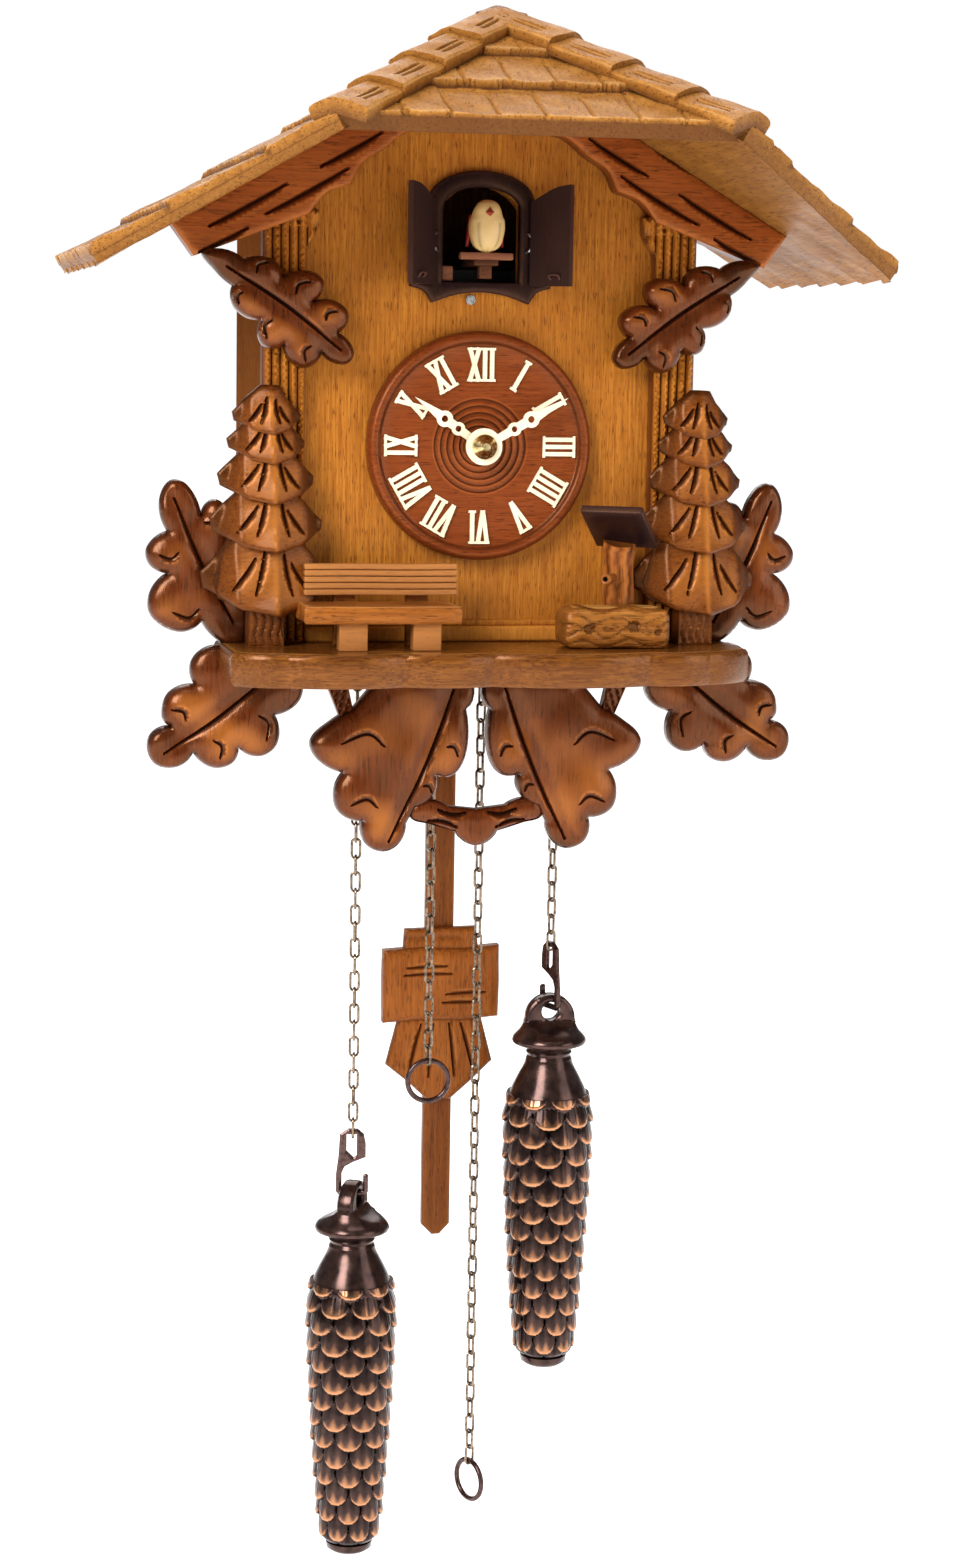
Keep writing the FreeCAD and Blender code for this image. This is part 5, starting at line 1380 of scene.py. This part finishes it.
def make_door_frame():
    """The dark frame round the doorway, with a scalloped sill, and the staples that the doors hang on."""
    half, door_half = 15.3, 11.1
    outline = [(half, 46.3), *arch(half, 68.6, 77.2), (-half, 46.3), (-20.3, 46.3), (-20.3, 44.7)]
    outline += list(curve([(-20.3, 44.7), (-16.4, 43.4), (-14.0, 40.2)], 6))[1:]
    outline += list(curve([(-14.0, 40.2), (-7.5, 42.4), (0.0, 43.3), (7.5, 42.4), (14.0, 40.2)], 5))[1:]
    outline += list(curve([(14.0, 40.2), (16.4, 43.4), (20.3, 44.7)], 6))[1:]
    outline += [(20.3, 46.3)]
    hole = dense([(-door_half, 46.0), (door_half, 46.0), *arch(door_half, 66.5, 72.6)], 1.0, True)

    def front(p, gap):
        height = 3.0 - 0.8 * np.exp(-gap / 0.5) + 0.08 * wave(p, 4.0, 1.0)
        # A painted highlight runs just inside the edge.
        return height, 0.15 * wave(p, 5.0, 2.0) - 0.5 * np.exp(-((gap - 0.5) / 0.35) ** 2)

    shape = relief(dense(outline, 1.2, True), front, 0.0, holes=[hole], pitch=0.8, wall=0.5)
    piece("door_frame_carved", shape, "case", paint["frame"], ["door_frame"])
    wires = Shape()
    for side in (-1, 1):
        loop = [(side * 12.6, -2.8, 54.6), (side * 13.4, -4.0, 55.0), (side * 14.4, -4.6, 56.6),
                (side * 14.4, -4.6, 58.0), (side * 13.4, -4.0, 59.6), (side * 12.6, -2.8, 60.0)]
        wires.join(tube(curve(loop, 5), 0.32, 8))
    piece("door_staples", wires, "case", paint["steel"])


def make_cuckoo_doors():
    """Dark doors whose tops fall from the free edge to the hinge, with a lighter back edge and a wire eye."""
    open_turn, wide = math.radians(126), 13.6
    for side, name in SIDES:
        top = curve([(-wide, 73.3), (-wide * 0.62, 72.6), (-wide * 0.25, 70.6), (1.0, 68.6)], 6)
        outline = dense([(1.0, 45.2), *top[::-1], (-wide, 45.2)], 1.0, True)

        def face(p, gap):
            groove = np.exp(-((gap - 2.2) / 0.4) ** 2)
            # Painted shade darkens the groove; a painted highlight brightens the edge.
            return 1.1 - 0.5 * np.exp(-gap / 0.4) - 0.45 * groove, 0.5 * groove - 0.5 * np.exp(-gap / 0.6)

        leaf = relief(outline, face, -1.1, pitch=0.8, wall=-0.3)
        leaf.join(tube(curve([(-wide + 3.4, 1.1, 47.0), (-wide + 3.4, 2.0, 48.2), (-wide + 6.6, 2.0, 48.2),
                              (-wide + 6.6, 1.1, 47.0)], 5), 0.3, 8, stain_and_shading=-1))
        if side < 0:
            leaf = mirrored(leaf)
        shape = Shape().join(leaf, (side * 15.1, -4.7, 0), Matrix.Rotation(side * open_turn, 3, "Z"))
        door = "cuckoo_door_" + name
        piece(door + "_leaf", shape, "door_" + name, paint["frame"], [door])


BIRD_Y = -9.0


def make_bird():
    """A small painted wooden bird on its perch."""
    rings, shade = [], []
    around = 40
    angle = np.linspace(0, 2 * np.pi, around, endpoint=False)
    front_half = np.abs(angle - np.pi * 1.5)
    # Each level's height, radius and lean to the front.
    profile = [(54.8, 0.8, 0.0), (55.6, 2.6, 0.3), (57.6, 3.9, 0.3), (60.2, 4.5, 0.2), (62.8, 4.4, 0.0),
               (64.8, 3.8, -0.4), (66.4, 3.3, -0.9), (67.8, 2.5, -1.0), (68.6, 1.3, -0.9), (68.8, 0.3, -0.8)]
    for z, r, lean in curve(profile, 4):
        wing = 0.45 * np.exp(-((front_half - 0.95) / 0.28) ** 2) * (56 < z < 63.5)
        x = (r * 1.12 + wing) * np.cos(angle)
        y = BIRD_Y + lean + (r * 1.05) * np.sin(angle)
        rings.append(np.column_stack([x, y, np.full(around, z) - (z < 58) * np.abs(np.sin(angle * 4)) * 0.5]))
        shade += list(0.5 * (np.abs(front_half - 0.66) < 0.07) * (55.8 < z < 62.5))
    body = skin(rings, stain_and_shading=shade)
    body.join(tube([(0, -8.6, 56), (0, -8.8, 53.8)], 1.0, 10))
    piece("bird_body", body, "cuckoo", paint["bird"], ["bird"])
    wings = skin([[(-1.3, -13.2, 65.2), (0, -13.4, 64.0), (1.3, -13.2, 65.2), (0, -13.1, 66.9)],
                  [(-0.9, -14.6, 65.2), (0, -14.6, 64.4), (0.9, -14.6, 65.2), (0, -14.4, 66.2)],
                  [(-0.15, -16.4, 65.0), (0, -16.4, 64.8), (0.15, -16.4, 65.0), (0, -16.4, 65.2)]])
    for side in (-1, 1):
        rows = []
        for s in np.linspace(0, 1, 9):
            wide = 0.4 + 2.6 * math.sin(math.pi * min(1, s * 0.8 + 0.15))
            centre = np.array((side * (4.3 + 0.7 * s), -7.6 + 1.4 * s, 64.5 - 8.8 * s))
            rows.append([centre + np.array((side * 0.5 * math.cos(a), wide * 0.55 * math.sin(a), 0.1))
                         for a in np.linspace(0, 2 * math.pi, 12, endpoint=False)])
        wings.join(skin(rows))
    piece("bird_beak_wings", wings, "cuckoo", paint["red"])
    eyes = Shape()
    for side in (-1, 1):
        eyes.join(lathe([(0.05, 0), (0.45, 0.05), (0.5, 0.3), (0.3, 0.55), (0.02, 0.62)], 14),
                  (side * 2.1, -11.7, 66.6), Matrix.Rotation(math.radians(90), 3, "X"))
    piece("bird_eyes", eyes, "cuckoo", paint["dark"])
    perch = bar((-7.6, -10.4, 52.2), (7.6, -7.4, 54.2), 0.4, 0.1, 0.05, 0.3)
    # The arm back into the case and the block under the perch are painted darker as shade.
    perch.join(bar((-3.5, -9.5, 50.6), (3.5, 38, 52.3), 0.3, 0.75, 0.0, 0.0))
    perch.join(bar((-1.8, -8.6, 47.0), (1.8, -5.4, 50.8), 0.3, 0.7, 0.0, 0.1))
    piece("bird_perch_bar", perch, "cuckoo", paint["perch"], ["bird_perch"])
    block = bar((-11.0, -0.2, 46.4), (-7.6, 4.0, 50.6), 0.4, 0.1, 0.0, 0.4)
    piece("doorway_block", block, "case", paint["perch"])


# ---------------------------------------------------------------- chains, weights, pendulum

LINK_PITCH, LINK_WIRE, LINK_WIDE = 5.0, 0.8, 3.3
CAP_TOPS = {"left": -221.2, "right": -165.4}
HOOK_RISE, LINK_RISE = 16.0, 16.3  # the hook's eye and the first link above the cap's top
CONE_TURN = 11.0
CAP_TURNS = {"left": 60.0, "right": 0.0}
HOOK_TURNS = {"left": -13.0, "right": 110.0}
# Each pull ring's centre height, outer radius and axis, and the turn of the first link above it.
PULL_RINGS = {"left": (-191.2, 7.0, (0, 1, 0), 110), "right": (-317.4, 6.9, (0.9, 0.44, 0), 20)}
PULL_WIRE = 0.8


def link_loop(count=28):
    """The centre line of one link: two straights and two half rings."""
    bend = (LINK_WIDE - LINK_WIRE) / 2
    straight = (LINK_PITCH + 0.12 + LINK_WIRE) / 2 - bend
    points = []
    for sign in (1, -1):
        for a in np.linspace(0, math.pi, count // 2):
            points.append((sign * bend * math.cos(a), 0, sign * (straight + bend * math.sin(a))))
    return points


def chain(x, lowest, top, first_turn):
    """A strand from its lowest link's centre up to its CAD strand's top; neighbours stand crosswise."""
    count = int((top - lowest) / LINK_PITCH) + 1
    link = tube(link_loop(), LINK_WIRE / 2, 8, True)
    shape = Shape()
    for i in range(count):
        angle = first_turn + 90 * (i % 2) + 5 * math.sin(i * 1.3 + x) * min(1, i)
        shape.join(link, (x, CHAIN_Y, lowest + i * LINK_PITCH), Matrix.Rotation(math.radians(angle), 3, "Z"))
    return shape


def ring(radius, wire, centre, axis):
    """A wire ring about an axis."""
    angle = np.linspace(0, 2 * np.pi, 64, endpoint=False)
    axis = np.array(axis, float) / np.linalg.norm(axis)
    first = np.cross(axis, (0, 0, 1.0))
    first /= np.linalg.norm(first)
    path = np.array(centre) + radius * (np.outer(np.cos(angle), first) + np.outer(np.sin(angle), (0, 0, 1.0)))
    return tube(path, wire, 12, True)


def make_chains():
    """The weights' strands, and the rings' strands with their pull rings."""
    for side, name in SIDES:
        strand = "weight_chain_" + name
        top = box_mm(strand)[1][2]
        shape = chain(side * CHAIN_X, CAP_TOPS[name] + LINK_RISE, top, HOOK_TURNS[name] + 90)
        piece(strand + "_links", shape, "weight_" + name, paint["chain"], [strand])
        strand = "ring_chain_" + name
        top = box_mm(strand)[1][2]
        pull_z, pull_r, axis, turn = PULL_RINGS[name]
        lowest = pull_z + pull_r + LINK_PITCH / 2 - 2 * PULL_WIRE + 0.1
        shape = chain(side * RING_X, lowest, top, turn)
        piece(strand + "_links", shape, "ring_" + name, paint["chain"], [strand])
        pull = ring(pull_r - PULL_WIRE, PULL_WIRE, (side * RING_X, CHAIN_Y, pull_z), axis)
        piece("pull_ring_" + name, pull, "ring_" + name, paint["bronze"])


# The hook's outline in two runs, from its eye to its tip and back, and the slot in its eye.
HOOK_EYE = [(-1.4, 0), (1.4, 0), (3.3, -1.6), (3.9, -4.5), (3.9, -8.6), (0.0, -10.2), (-2.4, -11.6),
            (-3.3, -13.6)]
HOOK_BEND = [(-3.3, -19.1), (3.2, -19.1), (3.2, -14.4), (3.6, -13.9), (4.3, -13.9), (4.7, -14.4),
             (4.7, -19.3), (3.6, -20.7), (-3.8, -20.7), (-5.0, -19.3), (-5.0, -14.0), (-4.3, -8.5),
             (-3.9, -1.8)]
HOOK_SLOT = [(-1.9, -1.6), (1.2, -1.6), (1.2, -8.2), (0.2, -8.8), (-1.9, -6.8)]


def hook_shape():
    """A flat cast hook: a slotted eye above, a shank and a bend with an upturned tip."""
    outline = dense(HOOK_EYE + HOOK_BEND, 0.5, True)
    slot = dense(HOOK_SLOT, 0.5, True)

    def front(p, gap):
        # A painted highlight runs just inside the edge.
        return 0.75 - 0.3 * np.exp(-(gap / 0.3) ** 2), -0.35 * np.exp(-((gap - 0.35) / 0.25) ** 2)

    return relief(outline, front, -0.75, holes=[slot], pitch=0.42,
                  rim=((0.03, 0.2), (0.03, -0.45), (-0.2, -0.75)), wall=0.1)


CAP_HALF = 2.6


def cap_shape():
    """The weight's cap: a flat crown with a round eye, standing on a bell and turned neck rings."""
    angle = np.radians(np.linspace(0, 180, 48))
    crown = [(7.7, -8.6)] + [(7.4 * math.cos(a), -7.4 + 7.3 * math.sin(a)) for a in angle] + [(-7.7, -8.6)]
    hole = [(2.9 * math.cos(a), -5.2 + 2.9 * math.sin(a))
            for a in np.linspace(0, 2 * math.pi, 36, endpoint=False)]

    def front(p, gap):
        return CAP_HALF - 0.6 * np.exp(-(gap / 0.5) ** 2) * (p[:, 1] > -8.3), np.full(len(p), 0.1)

    half = relief(dense(crown, 0.6, True), front, 0.0, holes=[hole], pitch=0.55,
                  rim=((0.12, 1.4), (0.15, 0.0)), wall=0.1)
    shape = Shape().join(half).join(half, None, Matrix.Rotation(math.pi, 3, "Z"))
    bell = [(0.1, -8.3), (7.6, -8.3), (7.9, -8.9), (8.4, -10.0), (9.1, -11.2), (10.1, -12.3), (11.0, -13.3),
            (11.3, -14.2), (11.0, -15.0), (9.6, -15.6), (7.2, -16.2), (6.6, -17.0), (7.0, -17.8),
            (6.5, -18.8), (7.0, -19.8)]

    def flattened(x, y, z):
        """A point of the bell, held to the crown's thickness at the top and let out to full round below."""
        limit = CAP_HALF + 9 * float(np.clip((-8.4 - z) / 4.6, 0, 1)) ** 1.3
        return x, float(np.clip(y, -limit, limit)), z

    flare = lathe(bell, 72)
    flare.points = [flattened(*point) for point in flare.points]
    return shape.join(flare)


def cone_base(t):
    """The cone's radius under its scales, from the shoulder at 0 to the tip at 1."""
    base = 13.4 * (1 - 0.36 * t ** 1.7) * (1 - 0.1 * max(0.0, 1 - t / 0.13) ** 1.6)
    return base * (1 - 0.5 * ((t - 0.96) / 0.04) ** 2) if t > 0.96 else base


def cone_shape():
    """A cast fir cone: a smooth shoulder, then rows of overlapping scales down to the tip."""
    shoulder = [(7.0, -19.8), (7.2, -21.0), (8.0, -22.8), (9.3, -25.2), (10.8, -28.2), (12.1, -31.4),
                (12.6, -34.0), (12.0, -35.0)]
    shape = Shape().join(lathe(shoulder, 72, stain_and_shading=0.12))
    around, rows, first, last = 8, 14, -30.5, -113.5
    steps_a, steps_z = 192, 224
    angle = np.linspace(0, 2 * np.pi, steps_a, endpoint=False)
    rings, shade = [], []
    row_tall = (first - last) / rows
    for k in range(steps_z + 1):
        z = first + (last - first) * k / steps_z
        t = k / steps_z
        down = (first - z) / row_tall
        # Where no scale covers, the gap is painted dark as shade.
        best, tone = np.full(steps_a, -1.0), np.full(steps_a, 0.95)
        for row in (math.floor(down), math.floor(down) - 1):
            v = down - row
            u = np.modf(np.abs(angle / (2 * np.pi) * around + 0.5 * (row % 2) + 10))[0] * 2 - 1
            edge = 0.62 + 0.88 * np.sqrt(np.clip(1 - u ** 2, 0, 1))
            level = -0.75 + 1.35 * min(v, 1.5) - 0.45 * np.abs(u) ** 2.5
            ridge = 0.12 * np.abs(np.sin(u * 11)) * (v < 1.35)
            cover = (v < edge) & (row >= -1)
            lip = np.exp(-((edge - v) / 0.12) ** 2)
            rub = 0.25 * np.sin(9 * u + 5 * row) * (v < 1.3)
            # Painted shade darkens each scale's top under the scale above and its sides between scales; its
            # lip is brighter, partly worn copper and partly painted highlight.
            mark = 0.75 - 1.35 * np.clip(v - 0.35, 0, 1) + 0.9 * np.abs(u) ** 3 + rub - 0.7 * lip
            take = cover & (level > best)
            best = np.where(take, level + ridge - 0.3 * lip ** 2, best)
            tone = np.where(take, mark, tone)
        radius = cone_base(t) + best * (0.85 if t < 0.9 else 0.55)
        rings.append(np.column_stack([radius * np.cos(angle), radius * np.sin(angle), np.full(steps_a, z)]))
        shade += list(np.clip(tone, -0.9, 1))
    shape.join(skin(rings, stain_and_shading=shade))
    tip = lathe([(7.2, -112.8), (7.0, -114.6), (5.4, -115.8), (0.1, -116.0)], 48, stain_and_shading=0.2)
    return shape.join(tip)


def make_weights():
    """The two cone weights, each with its cap, and the hooks that hold them."""
    cone, cap, hook = cone_shape(), cap_shape(), hook_shape()
    for side, name in SIDES:
        at = (side * CHAIN_X, CHAIN_Y, CAP_TOPS[name])
        cone_turn, cap_turn, hook_turn = (Matrix.Rotation(math.radians(turn), 3, "Z") for turn in
                                          (side * CONE_TURN, CAP_TURNS[name], HOOK_TURNS[name]))
        cast = Shape().join(cone, at, cone_turn).join(cap, at, cap_turn)
        piece("cone_" + name + "_cast", cast, "weight_" + name, paint["cone"], ["cone_" + name],
              50)
        eye = Shape().join(hook, (at[0], at[1], at[2] + HOOK_RISE), hook_turn)
        piece("hook_" + name + "_cast", eye, "weight_" + name, paint["bronze"], ["hook_" + name])


def make_pendulum():
    """A flat rod with softened edges and the carved bob on its front."""
    outline = dense([(-4.4, 7.0), (-4.4, -242.3), (-1.2, -245.6), (1.2, -245.6), (4.4, -242.3), (4.4, 7.0)],
                    3.0, True)
    outline = outset(anticlockwise(outline), -0.4)
    place = plane((0, 43.5, 0), (1, 0, 0), (0, 0, 1))

    def rod_front(p, gap):
        # A painted highlight brightens the rod's edge.
        return np.zeros(len(p)), -0.3 * np.exp(-gap / 0.5) + 0.15 * wave(p, 14, 1)

    rod = relief(outline, rod_front, -3.0, place, pitch=1.6, rim=((0.4, -0.4), (0.4, -2.6), (0.0, -3.0)),
                 wall=0.2)
    piece("pendulum_rod_board", rod, "pendulum", paint["rod"], ["pendulum_rod"])
    bob = Shape()
    cap = dense([(-11.6, -156.0), (-11.2, -148.4), (11.0, -148.0), (11.8, -155.8)], 1.2, True)

    def cap_front(p, gap):
        groove = np.exp(-((p[:, 1] + 151.0) / 0.8) ** 2) * (p[:, 0] < 6)
        # Painted shade darkens the groove and the edge.
        return 3.0 * (0.7 + 0.3 * dome(gap, 1.6)) - 0.5 * groove, 0.45 * np.exp(-gap / 0.6) + 0.4 * groove

    bob.join(relief(cap, cap_front, 0.0, place, pitch=0.7, wall=0.5))
    plate = dense([(-18, -154.6), (-18.2, -166), (-18, -177.2), (-6, -176.4), (6, -176.9), (18, -176),
                   (18.2, -165), (18, -153.6), (6, -154.6), (-6, -153.9)], 1.2, True)
    strokes = ([(-10.5, -160.2), (1.5, -159.8)], [(-11.5, -162.4), (3.0, -162.2)],
               [(1.5, -168.6), (13.5, -168.2)], [(0.5, -171.2), (12.5, -171.4)])
    cuts = [(dense(line, 0.8), 0.45, 0.8, 0.5) for line in strokes]

    def plate_front(p, gap):
        height = 4.5 * (0.72 + 0.28 * dome(gap, 3.0)) + 0.15 * wave(p, 5, 2)
        # Painted shade darkens the plate towards its edge.
        return carved(p, height, 0.35 * np.exp(-gap / 0.6) + 0.12 * wave(p, 7, 1), cuts)

    bob.join(relief(plate, plate_front, 0.0, place, pitch=0.8, lines=[carve_line(c[0], 0.5) for c in cuts],
                    wall=0.5))
    skirt = dense([(-12.6, -175.0), (-16.6, -190.6), (-9.6, -196.4), (-3.6, -202.0), (3.6, -202.0),
                   (9.6, -196.8), (16.6, -190.2), (12.6, -175.0)], 1.2, True)
    veins = [(dense([(x * 0.62, -178.0), (x, -195.0 + abs(x) * 0.2)], 1), 0.45, 0.9, 0.7 * np.sign(x))
             for x in (-9.5, -3.4, 4.6, 10.5)]

    def skirt_front(p, gap):
        # Painted shade darkens the skirt towards its edge.
        return carved(p, 3.0 * (0.6 + 0.4 * dome(gap, 3.0)), 0.5 * np.exp(-gap / 0.7) + 0.1 * wave(p, 6, 4),
                      veins)

    bob.join(relief(skirt, skirt_front, 0.0, place, pitch=0.8, lines=[carve_line(c[0], 0.5) for c in veins],
                    wall=0.55))
    piece("pendulum_bob_carved", bob, "pendulum", paint["pendulum"], ["pendulum_bob"])


def make_door_stop():
    """Thin strips inside the case round the rear opening, which the back door closes against."""
    low, high = box_mm("back_door")
    inner = min(low[1], box_mm("back_board")[0][1])
    over, lap, thick = 2.5, 1.5, 1.2
    strips = Shape()
    for x0, x1, z0, z1 in ((low[0] - over, high[0] + over, high[2] - lap, high[2] + over),
                           (low[0] - over, high[0] + over, low[2] - over, low[2] + lap),
                           (low[0] - over, low[0] + lap, low[2] + lap, high[2] - lap),
                           (high[0] - lap, high[0] + over, low[2] + lap, high[2] - lap)):
        strips.join(bar((x0, inner - thick - 0.1, z0), (x1, inner - 0.1, z1), 0.2, 0.3, 0.0, 0.1))
    piece("door_stop_strips", strips, "case", paint["case"])


# ---------------------------------------------------------------- what the CAD shows itself

CAD_FINISH = {"golden_wood": "panel", "case_wood": "case", "roof_wood": "roof", "carved_wood": "leaf",
              "shelf_wood": "shelf", "frame_wood": "frame", "dial_wood": "dial", "bark": "bark",
              "cream": "cream", "brass": "brass", "steel": "steel", "bronze": "bronze", "cone_metal": "cone",
              "black_plastic": "plastic", "battery_skin": "battery", "bird_paint": "bird",
              "perch_wood": "perch"}


def finish_cad_nodes():
    """Every CAD node that still shows gets the finish of its slot."""
    for part in frame["record"]["subparts"]:
        mesh = frame["nodes"][part["node"]].data
        mesh.materials.clear()
        mesh.materials.append(paint[CAD_FINISH[part["material_slot"]]])


paint = make_materials()
finish_cad_nodes()
make_main_roof()
make_hip_roof()
make_hip_caps()
make_bargeboards()
make_posts()
make_leaves()
make_bottom_carving()
make_trees()
make_shelf()
make_bench()
make_well()
make_dial()
make_door_frame()
make_cuckoo_doors()
make_bird()
make_chains()
make_weights()
make_pendulum()
make_door_stop()
make_camera()
make_studio()
make_floor()
